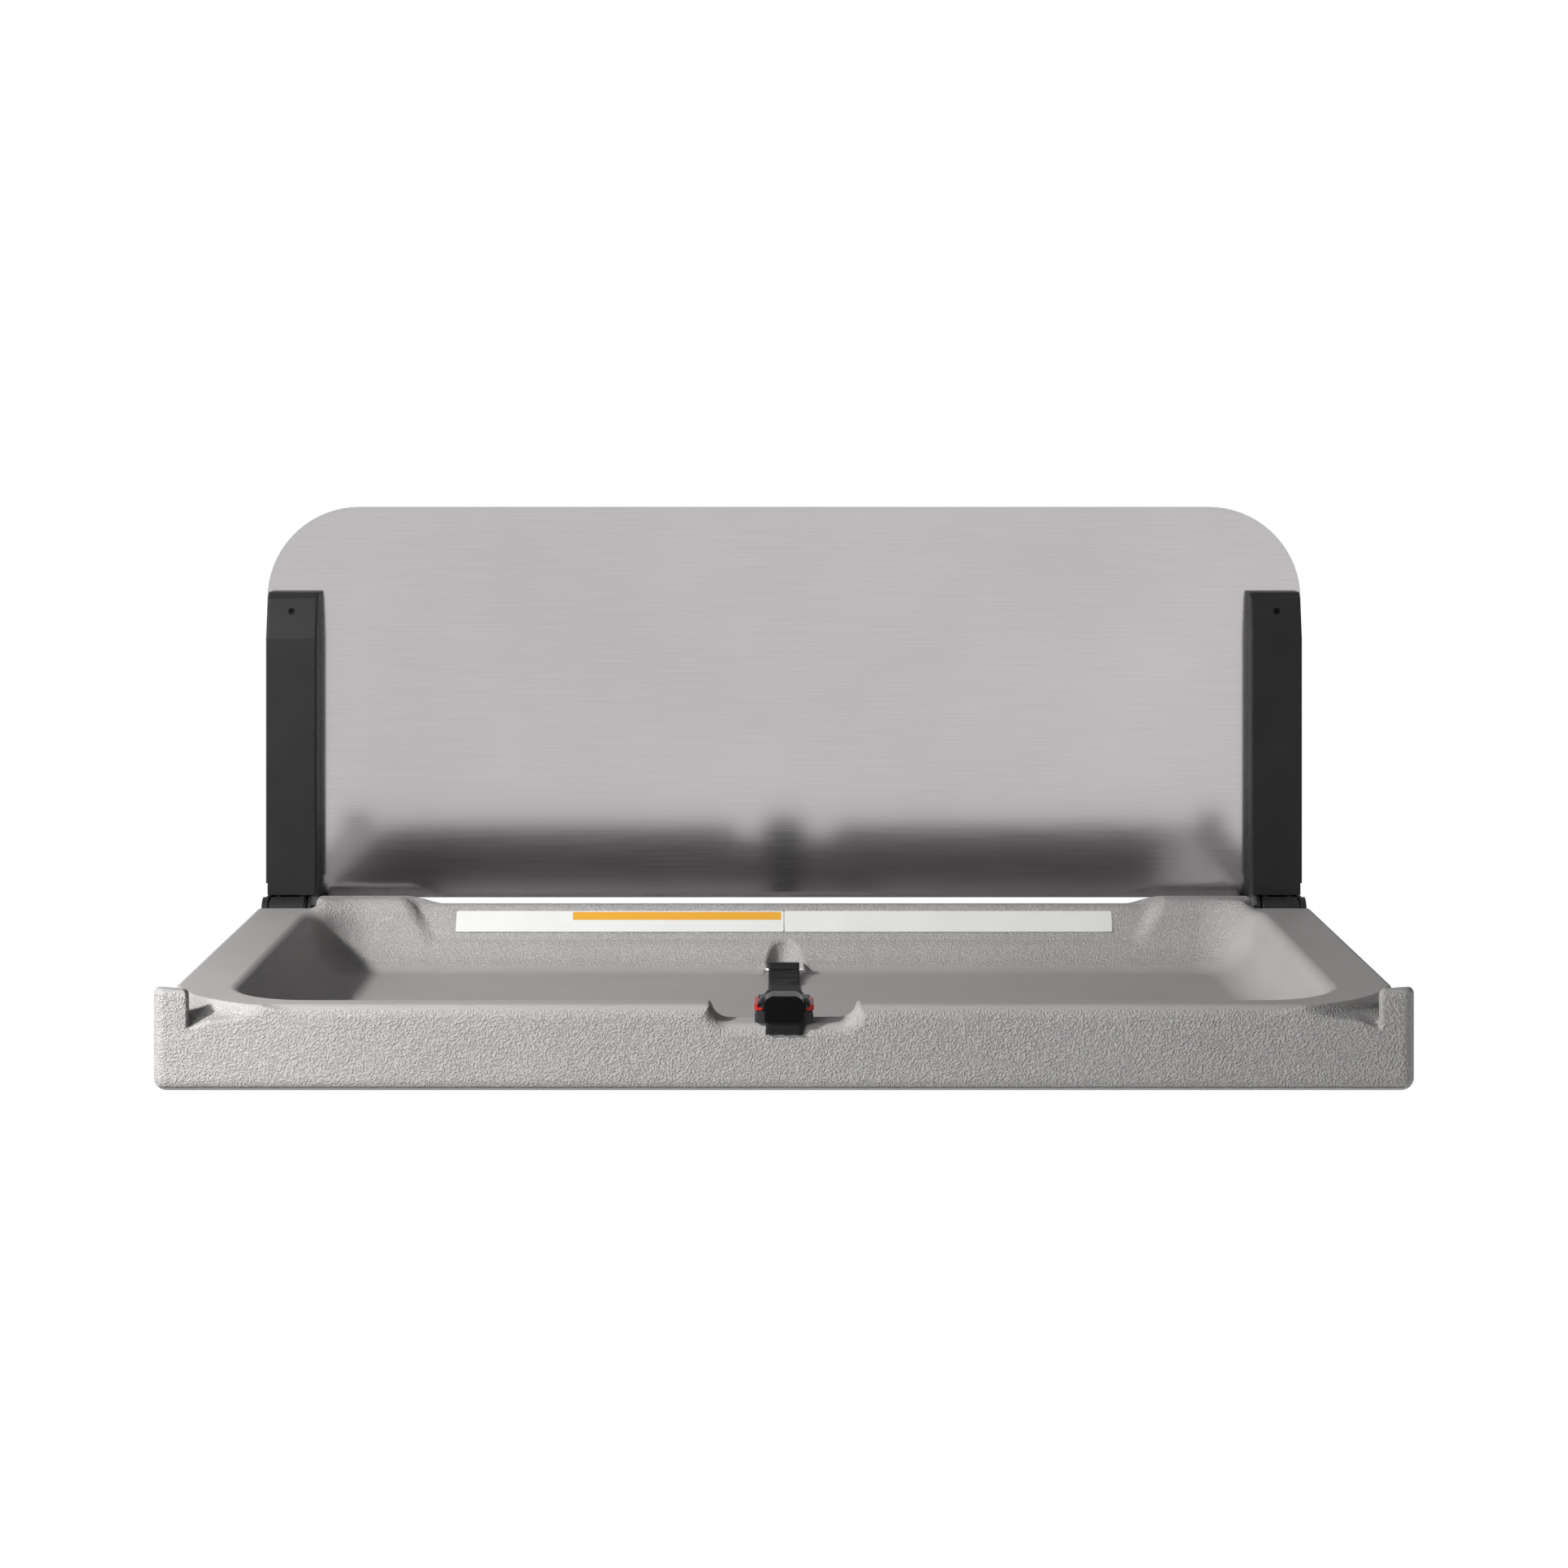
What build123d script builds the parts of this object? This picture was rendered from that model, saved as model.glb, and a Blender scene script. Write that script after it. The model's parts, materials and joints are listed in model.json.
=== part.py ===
from build123d import *
import os
from math import atan2, cos, hypot, radians, sin, tan

# A fold-down baby changing station for a wall, in millimetres.
# X runs along the wall, Y points into the wall and Z points up.
# The origin lies on the wall, in the middle of the four wall bolts.

# Wall bolts
bolt_from_side = 38.1
bolt_spacing_z = 203.2
bolt_hole_r = 4.2
bolts_above_rim = 140.0

# Back panel, a flat stainless sheet
panel_side_inset = 0.7
panel_h = 335.5
panel_t = 2.0
panel_corner_r = 79.0
panel_above_rim = 0.7
panel_notch_w = 43.8
panel_notch_h = 11.0

# Hinge line of the bed
axis_off_wall = 43.0
axis_below_rim = 5.0
barrel_r = 12.0
barrel_bore_r = 7.0
pin_r = 5.0
pin_end_proud = 2.0
running_gap = 0.05
ear_gap_in = 3.5
ear_gap_out = 2.0
clip_t = 1.2
clip_r = 8.0
clip_play = 0.3
clip_mouth = 8.0
bushing_flange_t = 1.5
bushing_flange_r = 9.5
bushing_len = 12.0

# Bed envelope
bed_w = 889.0
bed_reach = 467.0
bed_tail = 15.0
bed_h = 61.0
bed_corner_r = 9.5
bed_bottom_r = 9.0
rim_outer_r = 5.0
rim_inner_r = 9.0
wall_t = 4.0
cover_plate_t = 3.0

# Basin of the bed
basin_side_rim = 51.0
basin_front_rim = 31.0
basin_back_rim = 27.0
basin_depth = 50.0
basin_taper_deg = 6.0
basin_rear_corner_r = 45.0
basin_front_corner_r = 55.0
basin_floor_r = 33.0

# Raised shoulders and the sloped label ledge along the back
bump_h = 6.3
bump_w = 79.0
bump_slope_run = 18.0
bump_r = 5.0
ledge_top_w = 13.0
ledge_top_drop = 1.5
ledge_foot_drop = 22.5
ledge_end_from_side = 126.5
label_recess_inset = 38.5
label_recess_h = 22.0
label_recess_d = 0.6
label_end_gap = 2.6
label_h = 19.4
label_t = 0.25
label_corner_r = 1.5
label_split = 0.6
label_down_slope = 13.5

# Bag posts and the grooves behind them
post_w = 24.5
post_d = 14.0
post_h = 12.0
post_r = 4.5
post_top_r = 4.0
groove_r = 30.0
groove_depth = 14.0
groove_from_side = 40.5
groove_turn_deg = 48.0

# Grip dip in the middle of the front rim
dip_w = 103.0
dip_depth = 12.5
dip_corner_r = 11.0

# Niche and bar for the belt
niche_half_w = 16.8
niche_half_d = 30.0
niche_half_h = 35.0
niche_from_back = 47.0
anchor_bar_r = 1.5
anchor_bar_w = 31.0
anchor_bar_from_back = 72.0
anchor_bar_above_floor = 5.0
anchor_leg_len = 43.0
anchor_bend_r = 4.0

# Hinge pockets in the rear corners of the tray
pocket_gap_front = 2.0
pocket_gap_below = 1.5
pocket_w = 49.5
leaf_slot_gap = 0.5

# Steel arms and hinge leaves inside the bed
leaf_t = 3.5
leaf_reach = 100.0
arm_tube_w = 28.0
arm_tube_h = 25.0
arm_tube_t = 2.0
arm_tube_front_gap = 70.0
arm_tube_back_gap = 3.0
arm_boss_r = 8.0
arm_boss_from_axis = (207.0, 357.0)
leaf_screw_from_axis = (40.0, 80.0)
arm_screw_r = 3.0
arm_screw_head_r = 5.5
arm_screw_head_h = 3.3
arm_screw_bite = 10.0

# Where the tray's one moulding is divided into nodes
floor_edge_inset = 11.0
corner_w = 79.5
middle_w = 160.0

# Underside screws
plate_screw_from_middle = 110.0
plate_screw_from_side = 114.5
plate_boss_r = 6.5
plate_boss_in_front = 16.0
plate_boss_in_back = 15.0
plate_boss_ledge_top = 14.5
plate_screw_r = 2.0
plate_screw_head_r = 4.0
plate_screw_len = 18.0
plate_screw_slot = 1.0

# Upright arms on the wall: folded covers over steel brackets
arm_side_inset = 3.8
arm_w = 43.1
arm_depth = 29.0
arm_top = 263.6
arm_slope_from = 225.0
arm_slope_to = 258.6
arm_slope_in = 8.5
arm_flange_end = 17.0
arm_tongue_end = 7.0
arm_tongue_inset_in = 1.6
arm_tongue_inset_out = 1.5
arm_sheet_t = 1.5
arm_bend_r = 2.0
arm_panel_gap = 0.3
bracket_back_t = 2.5
bracket_ear_t = 2.5
bracket_inset_in = 1.8
bracket_inset_out = 2.2
bracket_depth = 22.0
bracket_top_below_arm = 9.0
bracket_foot_below_axis = 20.0
bracket_fit_gap = 0.3
cover_screw_below_slope = 10.6
cover_screw_head_r = 3.0
cover_screw_r = 1.75
cover_screw_len = 12.0
cover_boss_r = 5.0
cover_screw_socket_r = 1.4
rivet_r = 2.5
rivet_head_r = 4.5
rivet_head_h = 1.2
rivet_off_centre = 9.5
rivets_above_rim = (62.0, 140.0, 214.0)

# Crank on the hinge barrel and its stop heel
crank_r = 28.0
crank_rest_deg = 45.0
crank_gap = 17.0
crank_t = 3.0
crank_eye_r = 5.5
crank_pin_r = 3.0
crank_pin_head_r = 4.5
crank_pin_head_t = 1.0
crank_clear_front = 1.0
crank_clear_below = 1.0
heel_gap = 0.05
heel_low = 12.0
heel_high = 4.0

# Gas spring
cylinder_r = 9.0
cylinder_bore_r = 7.5
cylinder_len = 150.0
cylinder_above_yoke = 7.0
cylinder_end_t = 8.0
cylinder_eye_r = 7.0
cylinder_eye_t = 12.0
cylinder_eye_rise = 9.0
top_pin_r = 3.0
top_pin_head_r = 5.0
top_pin_head_t = 1.2
rod_r = 4.0
rod_into_yoke = 2.0
rod_inside = 55.0
piston_t = 10.0
yoke_w = 15.0
yoke_wall = 2.5
yoke_cap = 3.5
yoke_side_play = 0.3
yoke_slip = 0.85

# Belt buckle on the front rim
web_w = 25.4
web_t = 1.4
web_gap = 0.3
buckle_w = 41.4
buckle_len = 44.0
buckle_front_gap = 1.0
buckle_base_t = 3.0
buckle_cheek_w = 6.2
buckle_cheek_top = 12.7
buckle_ear_top = 16.5
buckle_ear_w = 4.1
buckle_ear_len = 9.0
buckle_roof_t = 1.7
buckle_slide_gap = 0.3
insert_out = 18.0
insert_prong_w = 4.0
insert_side_w = 1.1
insert_bar_len = 3.0
insert_web_slot = 5.0
insert_stop_wall = 6.0
button_z = 7.1
button_h = 5.4
button_len = 24.0
button_from_front = 8.0
button_t = 3.2
button_proud = 0.3
button_travel = 2.0
button_side_gap = 0.3
button_pocket_gap = 0.3
buckle_cap_w = 27.6
buckle_cap_top = 7.2
buckle_cap_t = 3.2
buckle_cap_drop = 18.4
buckle_cap_back = 22.0
buckle_cap_r = 3.0
tail_drop = 20.0
tail_root = 20.0
buckle_screw_r = 1.6
buckle_screw_head_r = 3.0
buckle_screw_head_h = 1.2
buckle_screw_len = 9.0
buckle_screw_from_front = 10.0
buckle_boss_r = 5.0
buckle_boss_h = 12.0

# Belt from the buckle to the bar
loop_slack_r = 1.4
belt_points = ((92.0, 26.5), (220.0, 39.3), (300.0, 42.5))

overrun = 5.0
edge_tolerance = 0.5

# Places worked out from the sizes
rim_z = -bolts_above_rim
axis_y = -axis_off_wall
axis_z = rim_z - axis_below_rim
front_y = axis_y - bed_reach
back_y = axis_y + bed_tail
under_z = rim_z - bed_h
plate_top_z = under_z + cover_plate_t
side_x = bed_w / 2
bolt_spacing_x = bed_w - 2 * bolt_from_side
panel_w = bed_w - 2 * panel_side_inset
pocket_in_x = side_x - pocket_w
bump_in_x = pocket_in_x - bump_w
bump_foot_x = bump_in_x - bump_slope_run
ledge_end_x = side_x - ledge_end_from_side
label_recess_w = 2 * (ledge_end_x - label_recess_inset)
label_w = label_recess_w / 2 - label_end_gap - label_split / 2
groove_front_x = side_x - groove_from_side
plate_screw_x = (plate_screw_from_middle, side_x - plate_screw_from_side)
basin_back_y = back_y - basin_back_rim
basin_front_y = front_y + basin_front_rim
floor_z = rim_z - basin_depth
panel_face_y = -panel_t
arm_out_x = side_x - arm_side_inset
arm_in_x = arm_out_x - arm_w
cover_screw_above_rim = arm_slope_to - cover_screw_below_slope
arm_front_y = panel_face_y - arm_depth
bracket_out_x = arm_out_x - bracket_inset_out
bracket_in_x = arm_in_x + bracket_inset_in
bracket_face_y = panel_face_y - bracket_back_t
ear_in_x = bracket_in_x + bracket_ear_t
ear_out_x = bracket_out_x - bracket_ear_t
barrel_x0 = ear_in_x + ear_gap_in
barrel_x1 = ear_out_x - ear_gap_out
mech_x = (barrel_x0 + barrel_x1) / 2
leaf_under_z = axis_z - barrel_r
arm_tube_top_z = leaf_under_z
crank_y = axis_y + crank_r * cos(radians(crank_rest_deg))
crank_z = axis_z + crank_r * sin(radians(crank_rest_deg))
yoke_front_y = crank_y - crank_pin_r - yoke_side_play - yoke_wall
yoke_back_y = axis_y + crank_r + crank_pin_r + yoke_side_play + yoke_wall
yoke_mid_y = (yoke_front_y + yoke_back_y) / 2
yoke_half_h = crank_pin_r + yoke_slip + yoke_side_play + yoke_cap
cylinder_z0 = crank_z + yoke_half_h + cylinder_above_yoke
cylinder_z1 = cylinder_z0 + cylinder_len
top_pin_z = cylinder_z1 + cylinder_eye_rise
dip_z = rim_z - dip_depth
buckle_front_y = front_y + buckle_front_gap
buckle_back_y = buckle_front_y + buckle_len
buckle_roof_z = dip_z + buckle_cheek_top
bar_y = back_y - anchor_bar_from_back
bar_z = floor_z + anchor_bar_above_floor
floor_side_x = side_x - basin_side_rim - basin_floor_r - floor_edge_inset
floor_front_y = basin_front_y + basin_floor_r + floor_edge_inset / 2
floor_back_y = basin_back_y - basin_floor_r - floor_edge_inset
corner_x = side_x - corner_w
ledge_top_y = back_y - ledge_top_w
ledge_foot_y = basin_back_y - (ledge_foot_drop - ledge_top_drop) * tan(radians(basin_taper_deg)) / 2


def block(x0, x1, y0, y1, z0, z1):
    """A box between two corners."""
    return Pos((x0 + x1) / 2, (y0 + y1) / 2, (z0 + z1) / 2) * Box(
        abs(x1 - x0), abs(y1 - y0), abs(z1 - z0)
    )


def bar_along_x(r, x0, x1, y, z):
    """A round bar from x0 to x1."""
    return Pos((x0 + x1) / 2, y, z) * Rot(0, 90, 0) * Cylinder(r, abs(x1 - x0))


def bar_along_z(r, z0, z1, x, y):
    """A round bar from z0 to z1."""
    return Pos(x, y, (z0 + z1) / 2) * Cylinder(r, abs(z1 - z0))


def slab_along_x(points, x0, x1):
    """An outline of (y, z) points, from x0 to x1."""
    face = Plane.YZ.offset(x0) * Polygon(*points, align=None)
    return extrude(face, amount=x1 - x0, dir=(1, 0, 0))


def slab_along_y(points, y0, y1):
    """An outline of (x, z) points, from y0 back to y1."""
    face = Plane.XZ.offset(-y1) * Polygon(*points, align=None)
    return extrude(face, amount=y1 - y0, dir=(0, -1, 0))


def left_of(part):
    """The same piece on the other side."""
    return mirror(part, about=Plane.YZ)


def both(part):
    """A piece and its mirror image, as two solids of one group."""
    return Compound(children=[*part.solids(), *left_of(part).solids()])


def save(name, part):
    """Writes one node."""
    export_step(part, os.path.join("parts", name + ".step"))


def plan_outline(grow=0):
    """The bed seen from above, at the level of the rim."""
    mid_y = (front_y + back_y) / 2
    width = bed_w + 2 * grow
    depth = back_y - front_y + 2 * grow
    return Pos(0, mid_y) * RectangleRounded(width, depth, bed_corner_r + grow)


def basin_space(grow=0):
    """The hollow of the basin, or that hollow with its wall around it."""
    half_w = side_x - basin_side_rim + grow
    front = basin_front_y - grow
    back = basin_back_y + grow
    with BuildSketch(Plane.XY.offset(rim_z)) as plan:
        with Locations((0, (front + back) / 2)):
            Rectangle(2 * half_w, back - front)
        corners = plan.vertices().group_by(Axis.Y)
        fillet(corners[0], basin_front_corner_r + grow)
        fillet(plan.vertices().group_by(Axis.Y)[-1], basin_rear_corner_r + grow)
    bowl = extrude(plan.sketch, amount=basin_depth + grow, dir=(0, 0, -1), taper=basin_taper_deg)
    bowl = fillet(bowl.edges().group_by(Axis.Z)[0], basin_floor_r + grow)
    lift = extrude(plan.sketch, amount=bump_h + overrun, dir=(0, 0, 1))
    return bowl + lift


def niche_space(grow=0):
    """The domed niche behind the belt's bar, cut flat at the floor."""
    dome = scale(
        Sphere(1.0),
        by=(niche_half_w + grow, niche_half_d + grow, niche_half_h + grow),
    )
    dome = Pos(0, back_y - niche_from_back, floor_z) * dome
    wide = niche_half_w + niche_half_d + grow
    mid = back_y - niche_from_back
    return dome & block(-wide, wide, mid - wide, mid + wide, floor_z - grow, rim_z)


def groove_space(grow=0):
    """The diagonal groove behind the right bag post."""
    start = (groove_front_x, front_y, rim_z + groove_r - groove_depth)
    return (
        Pos(*start)
        * Rot(0, 0, groove_turn_deg)
        * Rot(0, 90, 0)
        * Cylinder(groove_r + grow, bed_reach)
    )


def dip_space(grow=0):
    """The grip dip across the front rim."""
    half = dip_w / 2 + grow
    low = dip_z - grow
    high = rim_z + overrun
    dip = block(-half, half, front_y - overrun, basin_front_y + overrun + grow, low, high)
    foot = dip.edges().filter_by(Axis.Y).group_by(Axis.Z)[0]
    return fillet(foot, dip_corner_r + grow)


def pocket_space(grow=0):
    """The pocket that the right hinge turns in."""
    return block(
        pocket_in_x - grow,
        side_x + overrun,
        axis_y - barrel_r - pocket_gap_front - grow,
        back_y + overrun,
        leaf_under_z - pocket_gap_below - grow,
        rim_z + bump_h + overrun,
    )


def ledge_space(grow=0):
    """What is cut from the rim above the sloped label ledge."""
    run = ledge_top_y - ledge_foot_y
    drop = ledge_foot_drop - ledge_top_drop
    slope = hypot(run, drop)
    down = (-run / slope, -drop / slope)
    inward = (drop / slope * grow, -run / slope * grow)
    top = (ledge_top_y + inward[0], rim_z - ledge_top_drop + inward[1])
    foot = (ledge_foot_y + inward[0], rim_z - ledge_foot_drop + inward[1])
    lead = (top[0] - down[0] * overrun, top[1] - down[1] * overrun)
    out_y = basin_back_y - basin_rear_corner_r / 2
    high = rim_z + bump_h + overrun
    points = [lead, foot, (out_y, foot[1]), (out_y, high), (lead[0], high)]
    return slab_along_x(points, -ledge_end_x, ledge_end_x)


def ledge_plane():
    """A plane on the label ledge, with its normal out of the ledge and its Y axis up the slope."""
    run = ledge_top_y - ledge_foot_y
    drop = ledge_foot_drop - ledge_top_drop
    slope = hypot(run, drop)
    part_down = label_down_slope / slope
    return Plane(
        origin=(0, ledge_top_y - run * part_down, rim_z - ledge_top_drop - drop * part_down),
        x_dir=(1, 0, 0),
        z_dir=(0, -drop / slope, run / slope),
    )


def bump():
    """The raised shoulder at the right of the ledge."""
    points = [
        (pocket_in_x, rim_z - ledge_foot_drop),
        (pocket_in_x, rim_z + bump_h),
        (bump_in_x, rim_z + bump_h),
        (bump_foot_x, rim_z - ledge_foot_drop),
    ]
    shoulder = slab_along_y(points, basin_back_y, back_y)
    top = shoulder.edges().filter_by(Axis.X).group_by(Axis.Z)[-1]
    shoulder = fillet(top, bump_r)
    taper_cut = niche_from_back * tan(radians(basin_taper_deg))
    lean = slab_along_x(
        [
            (basin_back_y - overrun, rim_z),
            (basin_back_y, rim_z),
            (basin_back_y + taper_cut / 2, rim_z - ledge_foot_drop - overrun),
            (basin_back_y - overrun, rim_z - ledge_foot_drop - overrun),
        ],
        bump_foot_x - overrun,
        pocket_in_x + overrun,
    )
    return shoulder - (lean & basin_space())


def post():
    """The right bag post, flush with the bed's front corner."""
    tall = Pos(0, 0, rim_z - groove_r) * extrude(plan_outline(), amount=groove_r + post_h)
    keep = block(
        side_x - post_w,
        side_x + overrun,
        front_y - overrun,
        front_y + post_d,
        rim_z - groove_depth - overrun,
        rim_z + post_h + overrun,
    )
    horn = tall & keep
    corners = horn.edges().filter_by(Axis.Z)
    inner = corners.filter_by(lambda e: e.center().X < side_x - post_w / 2)
    horn = fillet(inner, post_r)
    corners = horn.edges().filter_by(Axis.Z)
    outer = corners.filter_by(lambda e: e.center().X > side_x - post_r / 2)
    horn = fillet(outer.sort_by(Axis.Y)[-1], post_top_r)
    return fillet(horn.edges().group_by(Axis.Z)[-1], post_top_r)


def bed_block():
    """The whole outside of the bed, tray and underside plate in one."""
    body = Pos(0, 0, under_z) * extrude(plan_outline(), amount=bed_h)
    body = fillet(body.edges().group_by(Axis.Z)[0], bed_bottom_r)
    return fillet(body.edges().group_by(Axis.Z)[-1], rim_outer_r)


def plate_screw_places():
    """Where the underside screws stand, as (x, y) of the right half."""
    rows = (front_y + plate_boss_in_front, back_y - plate_boss_in_back)
    return [(x, y) for y in rows for x in plate_screw_x]


def make_tray():
    """The moulded tray: basin, rim, posts, grooves, ledge and bosses, hollow from below."""
    body = bed_block()
    body -= block(-side_x, side_x, front_y, back_y, under_z - overrun, plate_top_z)
    body -= basin_space()
    lip = body.edges().filter_by(
        lambda e: abs(e.center().Z - rim_z) < edge_tolerance
        and front_y + 2 * rim_outer_r < e.center().Y < back_y - 2 * rim_outer_r
        and abs(e.center().X) < side_x - 2 * rim_outer_r
    )
    body = fillet(lip, rim_inner_r)
    body -= ledge_space()
    for side in (bump(), left_of(bump())):
        body += side
    for groove in (groove_space(), left_of(groove_space())):
        body -= groove
    body -= dip_space()
    for horn in (post(), left_of(post())):
        body += horn
    for pocket in (pocket_space(), left_of(pocket_space())):
        body -= pocket
    body -= niche_space()

    hollow = block(
        -side_x + wall_t,
        side_x - wall_t,
        front_y + wall_t,
        back_y - wall_t,
        plate_top_z - overrun,
        rim_z - wall_t,
    )
    hollow -= basin_space(wall_t)
    hollow -= niche_space(wall_t)
    hollow -= ledge_space(wall_t)
    hollow -= dip_space(wall_t)
    for side in (1, -1):
        for space in (groove_space(wall_t), pocket_space(wall_t)):
            hollow -= space if side > 0 else left_of(space)
    body -= hollow

    for x, y in plate_screw_places():
        under_ledge = y > axis_y - leaf_reach and x < ledge_end_x
        top = rim_z - (plate_boss_ledge_top if under_ledge else wall_t)
        boss = bar_along_z(plate_boss_r, plate_top_z, top, x, y)
        hole = bar_along_z(plate_screw_r, plate_top_z, plate_top_z + plate_screw_len, x, y)
        for piece in (boss - hole, left_of(boss - hole)):
            body += piece
        for piece in (hole, left_of(hole)):
            body -= piece
    for reach in arm_boss_from_axis:
        y = axis_y - reach
        boss = bar_along_z(arm_boss_r, arm_tube_top_z, rim_z - wall_t, mech_x, y)
        hole = bar_along_z(arm_screw_r, arm_tube_top_z, arm_tube_top_z + arm_screw_bite, mech_x, y)
        for piece in (boss - hole, left_of(boss - hole)):
            body += piece
    buckle_boss_y = buckle_front_y + buckle_screw_from_front
    body += bar_along_z(buckle_boss_r, dip_z - buckle_boss_h, dip_z - wall_t, 0, buckle_boss_y)
    body -= bar_along_z(buckle_screw_r, dip_z - buckle_screw_len, dip_z, 0, buckle_boss_y)

    slot = block(
        barrel_x0 - leaf_slot_gap,
        barrel_x1 + leaf_slot_gap,
        axis_y - barrel_r - pocket_gap_front - wall_t - overrun,
        axis_y,
        leaf_under_z - leaf_slot_gap,
        leaf_under_z + leaf_t + leaf_slot_gap,
    )
    for piece in (slot, left_of(slot)):
        body -= piece
    recess = ledge_plane() * Box(label_recess_w, label_recess_h, 2 * label_recess_d)
    body -= recess
    return body - make_anchor_bar()


def tray_areas():
    """Each node of the tray as (name, x0, x1, y0, y1), on the right or in the middle."""
    out_x = side_x + overrun
    front = front_y - overrun
    back = back_y + overrun
    middle_x = middle_w / 2
    middle = [
        ("tray_floor", -floor_side_x, floor_side_x, floor_front_y, floor_back_y),
        ("tray_back", -floor_side_x, floor_side_x, floor_back_y, back),
        ("tray_front_middle", -middle_x, middle_x, front, floor_front_y),
    ]
    right = [
        ("tray_side", floor_side_x, out_x, floor_front_y, back),
        ("tray_front", middle_x, corner_x, front, floor_front_y),
        ("tray_corner", corner_x, out_x, front, floor_front_y),
    ]
    return middle, right


def tray_area(tray, x0, x1, y0, y1):
    """The part of the tray over one area."""
    return tray & block(x0, x1, y0, y1, under_z, rim_z + post_h + overrun)


def make_underside():
    """The flat plate that closes the bed from below, with countersunk holes."""
    plate = bed_block() & block(-side_x, side_x, front_y, back_y, under_z, plate_top_z)
    for x, y in plate_screw_places():
        hole = plate_screw(x, y)
        for piece in (hole, left_of(hole)):
            plate -= piece
    return plate


def plate_screw(x, y):
    """One underside screw, flush with the plate."""
    sink = plate_screw_head_r - plate_screw_r
    head = Pos(x, y, under_z + sink / 2) * Cone(plate_screw_head_r, plate_screw_r, sink)
    return head + bar_along_z(plate_screw_r, under_z, plate_top_z + plate_screw_len, x, y)


def make_plate_screws():
    """All underside screws, each with a driver slot."""
    slot_w = plate_screw_slot
    screws = []
    for x, y in plate_screw_places():
        screw = plate_screw(x, y)
        screw -= block(
            x - plate_screw_head_r,
            x + plate_screw_head_r,
            y - slot_w / 2,
            y + slot_w / 2,
            under_z - slot_w,
            under_z + slot_w,
        )
        screws += [*screw.solids(), *left_of(screw).solids()]
    return Compound(children=screws)


def make_labels():
    """Two plain label plates that lie side by side on the ledge."""
    plane = ledge_plane()
    lift = label_t / 2 - label_recess_d
    x = label_split / 2 + label_w / 2
    right = plane * Pos(x, 0, lift) * extrude(
        RectangleRounded(label_w, label_h, label_corner_r), amount=label_t / 2, both=True
    )
    return left_of(right), right


def make_anchor_bar():
    """The bright bar in front of the niche, with its two ends turned back into the niche's sides."""
    half = anchor_bar_w / 2
    end_y = bar_y + anchor_leg_len
    path = FilletPolyline(
        (-half, end_y, bar_z),
        (-half, bar_y, bar_z),
        (half, bar_y, bar_z),
        (half, end_y, bar_z),
        radius=anchor_bend_r,
    )
    start = Plane(origin=(-half, end_y, bar_z), z_dir=(0, -1, 0))
    return sweep(start * Circle(anchor_bar_r), path=path)


def make_bed_hinge():
    """The right hinge bracket of the bed: barrel, leaf, crank plates and stop heels."""
    barrel = bar_along_x(barrel_r, barrel_x0, barrel_x1, axis_y, axis_z)
    leaf = block(
        barrel_x0, barrel_x1, axis_y - leaf_reach, axis_y, leaf_under_z, leaf_under_z + leaf_t
    )
    bracket = barrel + leaf
    bracket -= bar_along_x(barrel_bore_r, barrel_x0, barrel_x1, axis_y, axis_z)
    for reach in leaf_screw_from_axis:
        bracket -= bar_along_z(arm_screw_r, leaf_under_z, axis_z, mech_x, axis_y - reach)
    heel_y = bracket_face_y - heel_gap
    inner = crank_gap / 2
    for x0 in (mech_x - inner - crank_t, mech_x + inner):
        x1 = x0 + crank_t
        hub = bar_along_x(barrel_r, x0, x1, axis_y, axis_z)
        eye = bar_along_x(crank_eye_r, x0, x1, crank_y, crank_z)
        angle = radians(crank_rest_deg)
        along = (cos(angle), sin(angle))
        side = (-sin(angle), cos(angle))
        web = slab_along_x(
            [
                (axis_y + side[0] * crank_eye_r, axis_z + side[1] * crank_eye_r),
                (crank_y + side[0] * crank_eye_r, crank_z + side[1] * crank_eye_r),
                (crank_y - side[0] * crank_eye_r, crank_z - side[1] * crank_eye_r),
                (axis_y + along[0] * barrel_r + crank_eye_r, axis_z),
                (axis_y + along[0] * barrel_r, axis_z - heel_high),
                (axis_y, axis_z - heel_high),
            ],
            x0,
            x1,
        )
        heel = slab_along_x(
            [
                (axis_y, axis_z - heel_low),
                (heel_y, axis_z - heel_low),
                (heel_y, axis_z - heel_high),
                (axis_y + barrel_r, axis_z),
            ],
            x0,
            x1,
        )
        plate = hub + eye + web + heel
        plate -= block(
            x0,
            x1,
            axis_y - barrel_r,
            arm_front_y + arm_sheet_t + crank_clear_front,
            rim_z + arm_tongue_end - crank_clear_below,
            crank_z + crank_r,
        )
        plate -= bar_along_x(crank_pin_r, x0, x1, crank_y, crank_z)
        plate -= bar_along_x(barrel_bore_r, x0, x1, axis_y, axis_z)
        bracket += plate
    return bracket


def make_bushings():
    """Two flanged bushes for the right barrel."""
    bore = pin_r + running_gap
    bushes = []
    for x, side in ((barrel_x0, 1), (barrel_x1, -1)):
        sleeve = bar_along_x(barrel_bore_r, x, x + side * bushing_len, axis_y, axis_z)
        flange = bar_along_x(bushing_flange_r, x - side * bushing_flange_t, x, axis_y, axis_z)
        bush = sleeve + flange
        bush -= bar_along_x(bore, x - side * overrun, x + side * bushing_len, axis_y, axis_z)
        bushes.append(bush)
    return Compound(children=[s for b in bushes for s in b.solids()])


def make_crank_pin():
    """The pin between the right crank plates, with a low head at each end."""
    half = crank_gap / 2 + crank_t
    pin = bar_along_x(crank_pin_r, mech_x - half, mech_x + half, crank_y, crank_z)
    for side in (1, -1):
        end = mech_x + side * half
        pin += bar_along_x(crank_pin_head_r, end, end + side * crank_pin_head_t, crank_y, crank_z)
    return pin


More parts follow.
